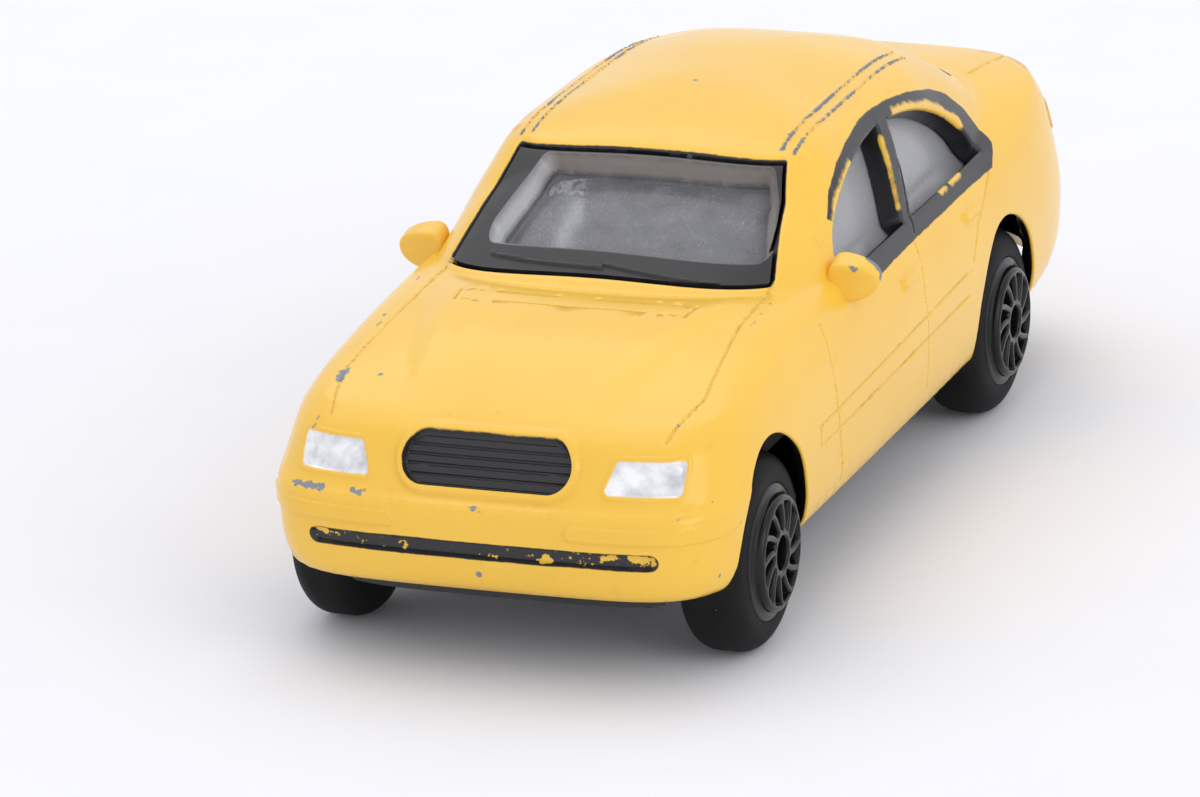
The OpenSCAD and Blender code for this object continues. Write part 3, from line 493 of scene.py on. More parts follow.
# The side windows: middle of their lower edge, half length and height of their arc, and the power
# of its curve.
SIDE_Z, SIDE_Y = 0.675 * BODY_H, 0.125 * HALF_L
ARC_HALF, ARC_H, ARC_POWER = 12.5, 5.0, 1.9
angle = np.linspace(0, np.pi, 41)
side_arc = np.stack([
    SIDE_Y + ARC_HALF * np.sign(np.cos(angle)) * np.abs(np.cos(angle)) ** (2 / ARC_POWER),
    SIDE_Z + ARC_H * np.sin(angle) ** (2 / ARC_POWER)], 1)
# The pillar between the doors: half its width, and for foot and top the middle and the order in
# which its sides are walked.
PILLAR_HALF = 0.85
PILLAR = ((0.07 * HALF_L, SIDE_Z - 1.1, (-1, 1)), (0.16 * HALF_L, SIDE_Z + 6.1, (1, -1)))
pillar = [(y + side * PILLAR_HALF, z) for y, z, sides in PILLAR for side in sides]
# The bow of the windscreen's edges: its height and half its width.
BOW_H, BOW_HALF = 0.45, 9.2
# A tyre's shoulder: radius and place along the axle of its middle, and its radius; then the room.
SHOULDER, SHOULDER_R, TYRE_GAP = (4.2, 11.95), 1.4, 0.15
# The arches: half their height, and for each one the place along the car, half its width, and a
# factor that makes up for the stretch.
ARCH_H, ARCHES = 6.75, [(FRONT_AXLE_Y, 5.15, 0.85), (REAR_AXLE_Y - 0.9, 5.9, 0.93)]


def window_corners(low_w, top_w, foot, height, corner):
    """Four corners of a window as seen from the front, drawn in by its corner radius."""
    low, top = low_w / 2 - corner, top_w / 2 - corner
    return [(-low, foot + corner), (low, foot + corner), (top, foot + height - corner),
            (-top, foot + height - corner)]


SCREEN_CORNER, REAR_CORNER = 0.2, 0.5
SCREEN = window_corners(19.4, 16.3, foot=0.711 * BODY_H, height=4.8, corner=SCREEN_CORNER)
REAR_SCREEN = window_corners(17.6, 14.8, foot=0.785 * BODY_H, height=3.1, corner=REAR_CORNER)


def arched(p):
    """Height less a bow across the car, a parabola that bends what is drawn with it."""
    return p[:, 2] - BOW_H * (1 - (p[:, 0] / BOW_HALF) ** 2)


def windscreen(p):
    """Rounded four-cornered opening ahead of the roof, as seen from the front, with bowed edges."""
    return overlap(region(p[:, 0], arched(p), SCREEN, SCREEN_CORNER), p[:, 1] - CROWN_Y,
                   CABIN_ROWS[0, 1] * HALF_L - p[:, 1])


def rear_window(p):
    """The same at the rear, less tall and narrower, with straight edges."""
    return overlap(region(p[:, 0], p[:, 2], REAR_SCREEN, REAR_CORNER), CROWN_Y - p[:, 1])


def side_windows(p):
    """A long arc, as seen from the side, less the leaning pillar between the doors."""
    y, z = p[:, 1], p[:, 2]
    return overlap(region(y, z, side_arc), -region(y, z, pillar), CABIN_X - p[:, 0])


def tyre_room(p):
    """The tyres with a little room: each a disc whose shoulder is a quarter round, as a distance
    from the round's middle in radius and along the axle."""
    out = p[:, 0] - SHOULDER[1]
    discs = []
    for axle in (FRONT_AXLE_Y, REAR_AXLE_Y):
        up = np.hypot(p[:, 1] - axle, p[:, 2] - AXLE_Z) - SHOULDER[0]
        discs.append(np.hypot(np.maximum(up, 0), np.maximum(out, 0))
                     + np.minimum(np.maximum(up, out), 0) - SHOULDER_R - TYRE_GAP)
    return union(*discs)


def arches(p):
    """Wheel arches, upright ovals as seen from the side: the distance to a circle, with y drawn
    out to make the oval one. The rear one stands ahead of its axle. Where the wall curves in, the
    tyres need their own room as well."""
    y, z = p[:, 1], p[:, 2] - AXLE_Z
    ovals = [(np.hypot((y - middle) * ARCH_H / half, z) - ARCH_H) * even
             for middle, half, even in ARCHES]
    return union(overlap(union(*ovals), WALL_X - p[:, 0]), tyre_room(p))


def windows(p):
    """All window openings."""
    return union(windscreen(p), rear_window(p), side_windows(p))


def openings(p):
    """All windows and wheel arches."""
    return union(windows(p), arches(p))


print("side windows, length and height in mm:", np.round(np.ptp(side_arc, axis=0), 2).tolist())

# %% [markdown]
# Doors, hood and lid of such a toy don't open: their gaps are grooves in the mould, and grille,
# lamps and handles are cast on. Booleans along curves could cut them, but leave slivers on a
# curved body. Here each is a line with a width or a closed outline, as seen from one side.

# %% shut lines, lamps, grille and trim
side_scale, top_scale = np.array([HALF_L, BODY_H]), np.array([HALF_W, HALF_L])
SIDE_LINES = [np.array(line) * side_scale for line in (
    [[-0.400, 0.269], [-0.421, 0.366], [-0.432, 0.464], [-0.421, 0.556], [-0.404, 0.629]],
    [[0.030, 0.278], [0.030, 0.503], [0.062, 0.625]],
    [[0.285, 0.483], [0.340, 0.551], [0.470, 0.629]],
    [[-0.515, 0.391], [0.255, 0.410]],
    [[-0.515, 0.391], [-0.515, 0.439], [0.270, 0.469]])]
TOP_LINES = [np.array(line) * top_scale for line in (
    [[0.690, -0.380], [0.695, -0.545], [0.755, -0.785], [0.700, -0.900]],
    [[0.600, 0.760], [0.640, 0.940]])]
HOOD_LINE = TOP_LINES[0]
VENT = np.array([[0.000, -0.578], [0.487, -0.573], [0.500, -0.524], [0.000, -0.535]]) * top_scale
GUTTER = np.array([[0.535, -0.150], [0.520, 0.440]]) * top_scale
GUTTER_STEPS = (0.06, 0.78)
# The foot of the trunk lid from behind, and the line up the pillar between the doors.
TRUNK = np.array([[0.0, 11.2], [7.0, 11.2], [7.9, 12.4], [8.0, 16.0]])
POST = [(2.75, 15.5), (6.1, 21.3)]
LINE_W, THIN_W = 0.22, 0.16
# What is drawn from above lies on hood and trunk, cowl or roof where z is above these, and what is
# drawn from behind lies on the lid or the tail's corners where y is.
DECK_Z, COWL_Z, ROOF_Z = 0.532 * BODY_H, 14.0, 18.6
LID_Y, TAIL_LAMP_Y = REAR_AXLE_Y + 12, REAR_AXLE_Y + 12.5
GRILLE_Z, GRILLE_H, BARS = 0.510 * BODY_H, 2.7, 5
GRILLE = [(-3.6, GRILLE_Z), (3.6, GRILLE_Z)]
# The grille's slots: how far they stay inside its edge, and half their share of a bar and a slot.
SLOT_RIM, SLOT_SHARE = 0.15, 0.19
INTAKE_Z, INTAKE_H = 0.324 * BODY_H, 0.95
INTAKE = [(-9.675, INTAKE_Z), (9.675, INTAKE_Z)]
FOG_PANEL, FOG_H = [(5.4, 9.26), (13.0, 9.26)], 1.0
LAMP = np.array([[7.1, -0.63], [10.85, -0.63], [10.85, 0.63], [7.55, 0.63]]) \
    + (0, 0.500 * BODY_H)
LAMP_CORNER = 0.22
TAIL_LAMP = [(8.4, 13.76), (14.0, 13.76), (14.0, 15.51), (8.4, 15.51)]
HANDLES = np.array([[-0.055, 0.556], [0.285, 0.571]]) * side_scale
HANDLE_L, HANDLE_H = 2.6, 0.75


def on_nose(p, distance):
    """A shape drawn from the front, only on the nose."""
    return overlap(distance, p[:, 1] - FRONT_AXLE_Y)


def shut_lines(p):
    """Door lines and rubbing strip from the side, hood and trunk lines from above, and the foot
    of the trunk lid from behind."""
    x, y, z = p.T
    side = overlap(union(*(stroke(y, z, line, LINE_W) for line in SIDE_LINES)), DOOR_X - x)
    top = overlap(union(*(stroke(x, y, line, LINE_W) for line in TOP_LINES)), DECK_Z - z)
    post = overlap(stroke(y, z, POST, LINE_W), CABIN_X - x)
    lid = overlap(stroke(x, z, TRUNK, LINE_W), LID_Y - y)
    return union(side, top, post, lid)


def vent(p):
    """The cowl vent: a slim arc across the hood, as seen from above."""
    return overlap(stroke(p[:, 0], p[:, 1], VENT, THIN_W), COWL_Z - p[:, 2])


def gutters(p):
    """Two thin ridges along each edge of the roof, as seen from above."""
    ridges = [stroke(p[:, 0], p[:, 1], GUTTER + (step, 0), THIN_W) for step in GUTTER_STEPS]
    return overlap(union(*ridges), ROOF_Z - p[:, 2])


def lamps(p):
    """Headlamps: four-cornered shapes on the nose, with rounded corners."""
    return on_nose(p, region(p[:, 0], p[:, 2], LAMP, LAMP_CORNER))


def tail_lamps(p):
    """Tail lamps: flat rectangles at the corners of the tail."""
    return overlap(region(p[:, 0], p[:, 2], TAIL_LAMP), TAIL_LAMP_Y - p[:, 1])


def handles(p):
    """Two door handles, as seen from the side."""
    boxes = [[(a, b), (a + HANDLE_L, b), (a + HANDLE_L, b + HANDLE_H), (a, b + HANDLE_H)]
             for a, b in HANDLES]
    return overlap(union(*(region(p[:, 1], p[:, 2], b) for b in boxes)), WALL_X - p[:, 0])


def fog_panels(p):
    """A long low panel over each end of the intake, round at its inner end."""
    return on_nose(p, stroke(p[:, 0], p[:, 2], FOG_PANEL, FOG_H))


def grille(p):
    """A bar with round ends: distance to a short line, less half the grille's height."""
    return on_nose(p, stroke(p[:, 0], p[:, 2], GRILLE, GRILLE_H))


def grille_slots(p):
    """Inside the grille, six narrow slots between and beside five level bars: how far a height is
    from the middle of its slot, in shares of the pitch of one bar and one slot."""
    pitch = 2 * GRILLE_H / (2 * BARS + 1)
    across = np.abs((p[:, 2] - GRILLE_Z + GRILLE_H / 2) / pitch % 1 - 0.25)
    return overlap(grille(p) + SLOT_RIM, (np.minimum(across, 1 - across) - SLOT_SHARE) * pitch)


def intake(p):
    """A long low slot with round ends."""
    return on_nose(p, stroke(p[:, 0], p[:, 2], INTAKE, INTAKE_H))


print("door lines:", len(SIDE_LINES), "lines on hood and trunk:", len(TOP_LINES))

# %% black paint
SURROUND = [(-6.2, 16.8), (-6.2, 18.7), (-6.8, 19.0), (-5.3, 20.2), (-3.1, 21.2), (-0.9, 21.7),
            (2.3, 22.05), (4.5, 22.1), (6.8, 22.0), (10.3, 21.55), (14.4, 20.6), (16.7, 19.65),
            (18.2, 18.4), (19.0, 16.9), (18.7, 16.2), (17.0, 15.2), (10.7, 15.2), (2.7, 15.2),
            (-3.8, 15.05), (-7.6, 15.0), (-8.0, 16.4)]
# Edges of the side windows that are rubbed through to yellow: a line and a width in mm.
RUBBED = [([(-6.4, 18.8), (-4.95, 19.6), (-3.2, 20.2), (-1.6, 20.7)], 0.45),
          ([(7.3, 21.15), (9.0, 20.95), (12.5, 20.1), (14.8, 19.1), (16.2, 18.1)], 0.65),
          ([(2.35, 17.1), (3.9, 20.6)], 0.36), ([(8.7, 16.15), (9.7, 16.2)], 0.27),
          ([(10.5, 16.15), (12.4, 16.2)], 0.22)]
# How much a distance counts at rubbed edges, the grille and the glass, which is seen at a slant:
# the more it counts, the less the spray wanders. Then how far the spray stays inside the grille and
# reaches beyond the intake and the glass.
RUBBED_COUNT, GRILLE_COUNT, GLASS_COUNT = 0.25, 2, 2.5
GRILLE_IN, INTAKE_OUT, GLASS_OUT = 0.06, 0.02, 0.1


def black_paint(p):
    """Window surround from the side, less the edges that fingers have rubbed yellow; grille and
    intake from the front; and the edges of windscreen and rear window."""
    x, y, z = p.T
    rubbed = union(*(stroke(y, z, line, width) for line, width in RUBBED))
    side = overlap(region(y, z, SURROUND), CABIN_X - x, -RUBBED_COUNT * rubbed)
    return union(side, GRILLE_COUNT * grille(p) + GRILLE_IN, intake(p) - INTAKE_OUT,
                 GLASS_COUNT * windscreen(p) - GLASS_OUT, GLASS_COUNT * rear_window(p) - GLASS_OUT)


print("corners of the window surround:", len(SURROUND), "rubbed edges:", len(RUBBED))

# %% relief
LAMP_LIP, GRILLE_LIP = 0.14, 0.42
# name: shape, height in mm, ramp in mm
RELIEF = {"lines": (shut_lines, -0.1, 0.09), "vent": (vent, -0.09, 0.06),
          "gutters": (gutters, 0.09, 0.05), "lamps": (lamps, -0.06, 0.12),
          "lamp lip": (lambda p: np.abs(lamps(p) - LAMP_LIP) - LAMP_LIP, 0.07, 0.1),
          "tail lamps": (tail_lamps, 0.1, 0.12), "handles": (handles, 0.22, 0.15),
          "fog panels": (fog_panels, 0.13, 0.12),
          "grille lip": (lambda p: grille(p) - GRILLE_LIP, 0.24, 0.2),
          "grille": (grille, -0.45, 0.14), "slots": (grille_slots, -0.1, 0.06),
          "intake": (intake, -0.28, 0.16)}
# Radius of the rounded edges of windows and wheel arches.
ROUNDED = ((windows, 0.2), (arches, 0.1))
# Shortest and longest edges in mm outside and inside, and shortest at openings and in the grille.
FINE, COARSE, INSIDE_FINE, INSIDE_COARSE, RIM_FINE, GRILLE_FINE = 0.25, 1.1, 0.26, 1.7, 0.34, 0.12


def relief(p):
    """Height of the cast surface over the loft: the sum of all shapes, each with its own ramp,
    less a quarter round along the openings."""
    h = sum(height * fill(shape(p), ramp) for shape, height, ramp in RELIEF.values())
    for shape, radius in ROUNDED:
        near = np.clip(1 - shape(p) / radius, 0, 1)
        h = h - radius * (1 - np.sqrt(1 - near**2))
    return h


def wanted(p):
    """Edge length in mm: short beside anything cast or cut, longer away from it."""
    fine = union(np.abs(black_paint(p)), *(np.abs(shape(p)) for shape, _, _ in RELIEF.values()))
    rim = RIM_FINE + 0.9 * np.abs(openings(p))
    length = np.clip(np.minimum(FINE + 1.3 * fine, rim), FINE, COARSE)
    return np.minimum(length, GRILLE_FINE + 0.8 * np.maximum(grille(p), 0))


def inside_wanted(p):
    """The same for the inside, which has nothing but the openings."""
    return np.clip(INSIDE_FINE + np.abs(openings(p)), INSIDE_FINE, INSIDE_COARSE)


print("shapes in the relief:", ", ".join(RELIEF))

# %% the skin of the casting
def steps(stops, counts):
    """Places from stop to stop, each stretch cut into its own count of equal steps."""
    parts = [np.linspace(a, b, n + 1)[:-1] for a, b, n in zip(stops, stops[1:], counts)]
    return np.append(np.concatenate(parts), stops[-1])


ALONG = (0, NOSE_END, TAIL_START, 1)
cv, tri = grid(steps(ALONG, (14, 46, 14)), steps((0, 1, 2, 3, 4), (14, 8, 8, 6)))
cv, tri = refine(cv, tri, inside_wanted, passes=4)
cv, tri = score(cv, tri, openings)
cv, inside = kept(cv, tri, openings(body_point(cv[tri].mean(1))) > 0)
corners = len(cv)
cv, tri = refine(cv, inside, wanted, passes=5, keep_rim=True)
levels = [(black_paint, 0.0)]
levels += [(shape, share * radius) for shape, radius in ROUNDED for share in (0.3, 1)]
levels += [(shape, level) for shape, _, ramp in RELIEF.values() for level in (0.0, -ramp)]
for shape, level in levels:
    cv, tri = score(cv, tri, shape, level, keep_rim=True)
print("triangles of half the skin:", len(tri), "and of half the inside:", len(inside))

# %% [markdown]
# The paint follows the same distances. Black covers the window surrounds, the grille and the
# intake; the headlamps are silver and the tail lamps red. Play has worn the enamel off wherever
# the body stands out: the gutters, the edges of the hood, the bumper, the lower edge. Each
# point gets a number for how exposed it is, and the finish decides with noise what is gone.

# %% paint and wear on the casting
BUMPER_Z = 12


def exposure(cv, p):
    """How much play has rubbed each point, from 0 to 1: high on ridges and proud edges and
    falling off with distance from them."""
    x, y, z = p.T
    hood = np.where(z > BUMPER_Z, stroke(x, y, HOOD_LINE, LINE_W), np.inf)
    # Each: distance, the most that is rubbed, and how fast it falls off. The hem goes by rows.
    near = [(gutters(p), 0.82, 0.1), (hood, 0.6, 0.1), (cv[:, 1] - 0.02, 0.62, 0.03),
            (arches(p), 0.5, 0.1), (np.abs(handles(p)), 0.5, 0.12)]
    rubbed = [most * np.exp(-np.maximum(away, 0) / fall) for away, most, fall in near]
    return np.max([*rubbed, 0.44 * fill(intake(p), 0.1)], axis=0)


# Chips through to the metal: two ends of each, and its radius, in mm.
CHIPS = [((-11.4, -33.45, 10.45), (-9.4, -34.1, 10.45), 0.25),
         ((-7.6, -34.15, 10.5), (-6.8, -34.4, 10.45), 0.24),
         ((-0.5, -34.75, 10.2), (-0.05, -34.8, 10.17), 0.14),
         ((10.9, -33.75, 10.32), (11.1, -33.65, 10.32), 0.14),
         ((12.4, -31.9, 10.68), (12.5, -31.8, 10.68), 0.17),
         ((-3.0, -31.25, 14.23), (-0.2, -30.8, 14.48), 0.03),
         ((-10.43, -27.5, 14.93), (-10.46, -28.4, 14.73), 0.26),
         ((-10.5, -31.3, 13.55), (-10.6, -32.0, 12.9), 0.08),
         ((-10.9, -14.3, 16.6), (-10.6, -22.5, 15.9), 0.05),
         ((10.2, -14.5, 16.8), (10.4, -19.4, 16.35), 0.04),
         ((13.75, -8.45, 17.4), (14.35, -8.5, 17.0), 0.2),
         ((14.4, -8.55, 16.95), (14.5, -8.75, 16.2), 0.2),
         ((13.05, -9.58, 17.18), (13.45, -9.5, 17.1), 0.1),
         ((13.67, -9.44, 16.65), (13.7, -9.42, 16.5), 0.1)]
# Spots in the intake where the black is rubbed through to yellow, in the same way.
RUBS = [((-9.6, -34.3, 8.05), (-9.0, -34.4, 7.85), 0.28),
        ((-8.3, -34.5, 8.1), (-8.1, -34.5, 8.0), 0.14),
        ((-6.0, -34.6, 7.9), (-5.8, -34.6, 7.9), 0.14),
        ((-4.7, -34.6, 7.75), (-4.2, -34.6, 7.8), 0.22),
        ((0.4, -34.6, 7.5), (0.8, -34.6, 7.5), 0.12),
        ((3.4, -34.6, 7.55), (4.1, -34.6, 7.65), 0.2),
        ((5.5, -34.5, 7.7), (6.6, -34.5, 7.75), 0.16),
        ((7.2, -34.5, 7.95), (7.8, -34.4, 7.85), 0.24),
        ((8.7, -34.4, 8.0), (9.6, -34.2, 7.8), 0.3)]
print("chips:", len(CHIPS), "rubbed spots:", len(RUBS))


def marks(p, places):
    """Distance to the nearest mark: a short line with a radius."""
    best = np.full(len(p), np.inf)
    for start, stop, radius in places:
        a, way = np.array(start), np.array(stop) - start
        t = np.clip((p - a) @ way / (way @ way), 0, 1)
        best = np.minimum(best, np.linalg.norm(p - a - t[:, None] * way, axis=1) - radius)
    return best


def enamel():
    """Cast zinc under stoved enamel. Enamel gives an even, wet gloss with a slight orange peel,
    chips go through to dull grey metal, and sprayed black, silver and red lie on top with soft
    edges where the mask sat."""
    material, tree, at = new_material("stoved_enamel_on_zinc")
    d = {key: add(tree, "Attribute", {"attribute_name": key}, out="Fac")
         for key in ("black_mm", "silver_mm", "red_mm", "wear", "line_mm", "chip_mm", "rub_mm")}
    cloud = add(tree, "TexNoise", {"Scale": per_mm(7), "Detail": 3.0}, {"Vector": at})
    grime = add(tree, "TexNoise", {"Scale": per_mm(1.6), "Detail": 5.0, "Roughness": 0.7},
                {"Vector": at})
    chip_grain = add(tree, "TexNoise", {"Scale": per_mm(0.42), "Detail": 4.0, "Roughness": 0.6},
                     {"Vector": at})
    patch = add(tree, "TexNoise", {"Scale": per_mm(2.8), "Detail": 2.0}, {"Vector": at})
    # The yellow: a little uneven in thickness, with handling marks rubbed into it.
    body = add(tree, "Mix", {"data_type": "RGBA", 6: colour(YELLOW), 7: colour("#f0bc3d")},
               {0: cloud})
    smear = add(tree, "MapRange", {"From Min": 0.6, "From Max": 0.78, "To Max": 0.3},
                {"Value": grime})
    body = add(tree, "Mix", {"data_type": "RGBA", 7: colour("#d79d2f")}, {0: smear, 6: body})
    # The shut lines and the vent are tinted a dark brownish yellow along their middle: painted
    # shade in the grooves.
    groove_shade = add(tree, "MapRange", {"From Min": 0.0, "From Max": -0.09, "To Max": 0.42,
                                    "interpolation_type": "SMOOTHSTEP"}, {"Value": d["line_mm"]})
    body = add(tree, "Mix", {"data_type": "RGBA", 7: colour("#a5954a")}, {0: groove_shade, 6: body})
    # Sprayed coats: the mask's edge wanders by about a twentieth of a millimetre.
    drift = add(tree, "MapRange", {"To Min": -0.05, "To Max": 0.05}, {"Value": chip_grain})
    sway = add(tree, "MapRange", {"From Min": 0.3, "From Max": 0.7, "To Min": -0.025,
                                  "To Max": 0.025}, {"Value": patch})
    sway = add(tree, "Math", {"operation": "ADD"}, {0: drift, 1: sway})
    coats = {}
    for key, soft in (("black_mm", 0.04), ("silver_mm", 0.06), ("red_mm", 0.15)):
        edge = add(tree, "Math", {"operation": "ADD"}, {0: d[key], 1: sway})
        coats[key] = add(tree, "MapRange", {"From Min": soft, "From Max": -soft,
                                            "interpolation_type": "SMOOTHSTEP"}, {"Value": edge})
    # Exposed places lose paint where the grain of the chips is high; patches keep some of it.
    worn = add(tree, "MapRange", {"From Min": 0.35, "From Max": 0.65, "To Min": 0.72,
                                  "To Max": 1.0}, {"Value": patch})
    worn = add(tree, "Math", {"operation": "MULTIPLY"}, {0: d["wear"], 1: worn})
    ripe = add(tree, "Math", {"operation": "ADD"}, {0: worn, 1: chip_grain})
    bare = add(tree, "MapRange", {"From Min": 1.16, "From Max": 1.22}, {"Value": ripe})
    thin = add(tree, "MapRange", {"From Min": 1.02, "From Max": 1.07}, {"Value": ripe})
    # A few knocks anywhere: small spots round the points of a random lattice.
    away, few = few_spots(tree, at, size=2.6, share=0.86)
    spot = add(tree, "Math", {"operation": "MULTIPLY_ADD", 1: 0.1, 2: -0.05}, {0: chip_grain})
    spot = add(tree, "Math", {"operation": "ADD"}, {0: away, 1: spot})
    spot = add(tree, "MapRange", {"From Min": 0.075, "From Max": 0.05}, {"Value": spot})
    knock = add(tree, "Math", {"operation": "MULTIPLY"}, {0: spot, 1: few})
    bare = add(tree, "Math", {"operation": "MAXIMUM"}, {0: bare, 1: knock})
    # The larger chips, with ragged edges.
    ragged = add(tree, "MapRange", {"From Min": 0.3, "From Max": 0.7, "To Min": 0.16,
                                    "To Max": -0.16}, {"Value": chip_grain})
    for key in ("chip_mm", "rub_mm"):
        d[key] = add(tree, "Math", {"operation": "ADD"}, {0: d[key], 1: ragged})
        d[key] = add(tree, "MapRange", {"From Min": 0.02, "From Max": -0.02}, {"Value": d[key]})
    bare = add(tree, "Math", {"operation": "MAXIMUM"}, {0: bare, 1: d["chip_mm"]})
    thin = add(tree, "Math", {"operation": "MAXIMUM"}, {0: thin, 1: d["rub_mm"]})
    # The black goes first and shows yellow; then the yellow goes and shows zinc.
    # The same black also covers the whole inside of the casting, as painted shade.
    black = add(tree, "Math", {"operation": "SUBTRACT", "use_clamp": True},
                {0: coats["black_mm"], 1: thin})
    tone = add(tree, "Mix", {"data_type": "RGBA", 7: colour("#242427")}, {0: black, 6: body})
    mottle = add(tree, "Math", {"operation": "ADD"}, {0: patch, 1: grime})
    mottle = add(tree, "MapRange", {"From Min": 0.72, "From Max": 1.16}, {"Value": mottle})
    silver = add(tree, "Mix", {"data_type": "RGBA", 6: colour("#b6b7bc"), 7: colour("#fafbfc")},
                 {0: mottle})
    tone = add(tree, "Mix", {"data_type": "RGBA"}, {0: coats["silver_mm"], 6: tone, 7: silver})
    thin_red = add(tree, "MapRange", {"To Max": 0.4}, {"Value": coats["red_mm"]})
    tone = add(tree, "Mix", {"data_type": "RGBA", 7: colour("#d0584a")}, {0: thin_red, 6: tone})
    tone = add(tree, "Mix", {"data_type": "RGBA", 7: colour("#8b9096")}, {0: bare, 6: tone})
    metal = add(tree, "MapRange", {"To Max": 0.55}, {"Value": coats["silver_mm"]})
    metal = add(tree, "Mix", {"data_type": "FLOAT", 3: 0.7}, {0: bare, 2: metal})
    gloss = add(tree, "MapRange", {"To Min": 0.12, "To Max": 0.3}, {"Value": grime})
    gloss = add(tree, "Mix", {"data_type": "FLOAT", 3: 0.32}, {0: black, 2: gloss})
    gloss = add(tree, "Mix", {"data_type": "FLOAT", 3: 0.55}, {0: bare, 2: gloss})
    # Orange peel about 0.7 mm wide, and the step at the edge of each chip.
    peel = add(tree, "TexNoise", {"Scale": per_mm(0.7), "Detail": 1.0}, {"Vector": at})
    skin = add(tree, "Math", {"operation": "MULTIPLY_ADD", 1: 0.12}, {0: peel, 2: thin})
    skin = add(tree, "Math", {"operation": "MULTIPLY_ADD", 1: -1.0}, {0: bare, 2: skin})
    bump = add(tree, "Bump", {"Strength": 0.5, "Distance": 0.03 * MM}, {"Height": skin})
    return finish_material(material, add(tree, "BsdfPrincipled", {"IOR": 1.5}, {
        "Base Color": tone, "Metallic": metal, "Roughness": gloss, "Normal": bump}))


# %% the casting as a closed shell
FAR = 9.0  # a distance in mm that no coat reaches
RIM_WALL, LEAST_WALL = 0.17, 0.1
smooth = body_point(cv)
out = body_normal(cv)
skin = on_left(smooth + out * relief(smooth)[:, None], smooth)
# The wall is thicker in the cabin, and thin at the edges of the arches.
wall = np.interp(cv[:, 1], [0, 1.6, 2.2, 4], [1.1, 1.1, 1.35, 1.35])
wall = np.minimum(wall, RIM_WALL + np.maximum(arches(smooth), 0))
# Behind those edges it is thinned further, until the tyres are free of it.
for _ in range(6):
    wall = np.maximum(wall + np.minimum(tyre_room(smooth - out * wall[:, None]), 0), LEAST_WALL)
inner = on_left(smooth - out * wall[:, None], smooth)[:corners]
paint = {"black_mm": black_paint(smooth), "silver_mm": lamps(smooth),
         "red_mm": tail_lamps(smooth), "wear": exposure(cv, smooth),
         "line_mm": union(0.6 * shut_lines(smooth), 1.4 * vent(smooth))}
# Inside, the casting is black all over: painted shade for the dark seen through windows and arches.
# Nothing inside is worn.
dark = {"black_mm": -0.7, "silver_mm": FAR, "red_mm": FAR, "wear": 0.0, "line_mm": FAR}
paint = [np.concatenate([value, np.full(corners, dark[key])]) for key, value in paint.items()]
shell, faces, *paint = mirrored(*thickened(skin, tri, inner, inside), *paint)
paint = dict(zip(dark, paint), chip_mm=marks(shell, CHIPS), rub_mm=marks(shell, RUBS))
zinc = enamel()
body = make_piece("body_casting", shell, faces, zinc, "car", "paint", sharp=48, **paint)
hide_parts("body_shell")

# %% [markdown]
# The door mirrors are part of the casting: blunt shields, flat on top and narrow below, that grow
# out of the doors. A ball could be pushed into shape by hand. Here two closed curves, one round
# the front and one round the back, are joined by a rounded profile, and the inner end stays
# hidden in the door. A grid that wraps round has double points along its seam and at its poles,
# so a small helper merges them.

# %% door mirrors
def welded(points, tri):
    """Merges points that coincide and drops the triangles that lost a side, so that seams and
    poles are closed."""
    _, first, index = np.unique(np.round(points, 4), axis=0, return_index=True, return_inverse=True)
    tri = index.ravel()[tri]
    whole = (tri != np.roll(tri, 1, 1)).all(1)
    return points[first], tri[whole]


SHIELD_FRONT = np.array([(11.5, -9.85, 17.30), (13.55, -9.60, 17.27), (14.60, -9.15, 16.60),
                         (14.42, -9.25, 15.65), (13.30, -9.50, 15.05), (11.60, -9.80, 15.00)])
SHIELD_BACK = np.array([(11.5, -8.20, 17.90), (13.50, -8.20, 17.62), (14.62, -8.30, 16.85),
                        (14.20, -8.30, 15.85), (12.80, -8.50, 15.30), (11.60, -8.50, 15.30)])
ROUND_POWER = 0.28


def round_curve(corners, s):
    """A closed curve round corners, at places s from 0 to 1: each piece is the parabola that runs
    from the middle of one side past a corner to the middle of the next."""
    n = len(corners)
    k = np.floor(s * n).astype(int) % n
    t = (s * n % 1)[:, None]
    a, b, c = corners[k - 1], corners[k], corners[(k + 1) % n]
    return (a + b) / 2 * (1 - t) ** 2 + 2 * b * t * (1 - t) + (b + c) / 2 * t**2


def mirror_shield(uv):
    """From the middle of the front round its edge to the middle of the back: the share of the way
    out is sine to a low power and the place from front to back cosine to that power, which
    together make a rounded square."""
    turn = np.pi * uv[:, 1:]
    out = np.sin(turn) ** ROUND_POWER
    place = 0.5 - 0.5 * np.sign(np.cos(turn)) * np.abs(np.cos(turn)) ** ROUND_POWER
    middle, edge = (front + (rear - front) * place for front, rear in (
        (SHIELD_FRONT.mean(0), SHIELD_BACK.mean(0)),
        (round_curve(SHIELD_FRONT, uv[:, 0]), round_curve(SHIELD_BACK, uv[:, 0]))))
    return middle + (edge - middle) * out


uv, tri = grid(np.linspace(1, 0, 73), np.linspace(0, 1, 41))
points, tri = welded(mirror_shield(uv), tri)
points, tri = mirrored(points, tri)
far = np.full(len(points), FAR)
make_piece("door_mirrors", points, tri, zinc, "car", "paint", black_mm=far, silver_mm=far,
           red_mm=far, line_mm=far, wear=0 * far, chip_mm=marks(points, CHIPS), rub_mm=far)

# %% [markdown]
# All windows are one clear moulding, pressed into the cabin from below. It follows the same loft,
# drawn in by the wall; the rear window and the border of the windscreen swell out through their
# openings until they are almost flush. The border is sprayed black and broader on one side, the
# clear pane in it is sunk, and two wipers are moulded on. Play has scratched the pane until it
# looks like smoke.

# %% the windows as one moulding
PANE, PANE_CORNER = [(-7.05, 18.85), (8.55, 18.7), (7.25, 21.12), (-5.75, 21.12)], 0.6
WIPERS = [[(0.2, 18.12), (7.05, 17.5)], [(-6.9, 18.03), (0.2, 17.98)]]
WIPER_W, WIPER_H = 0.22, 0.14
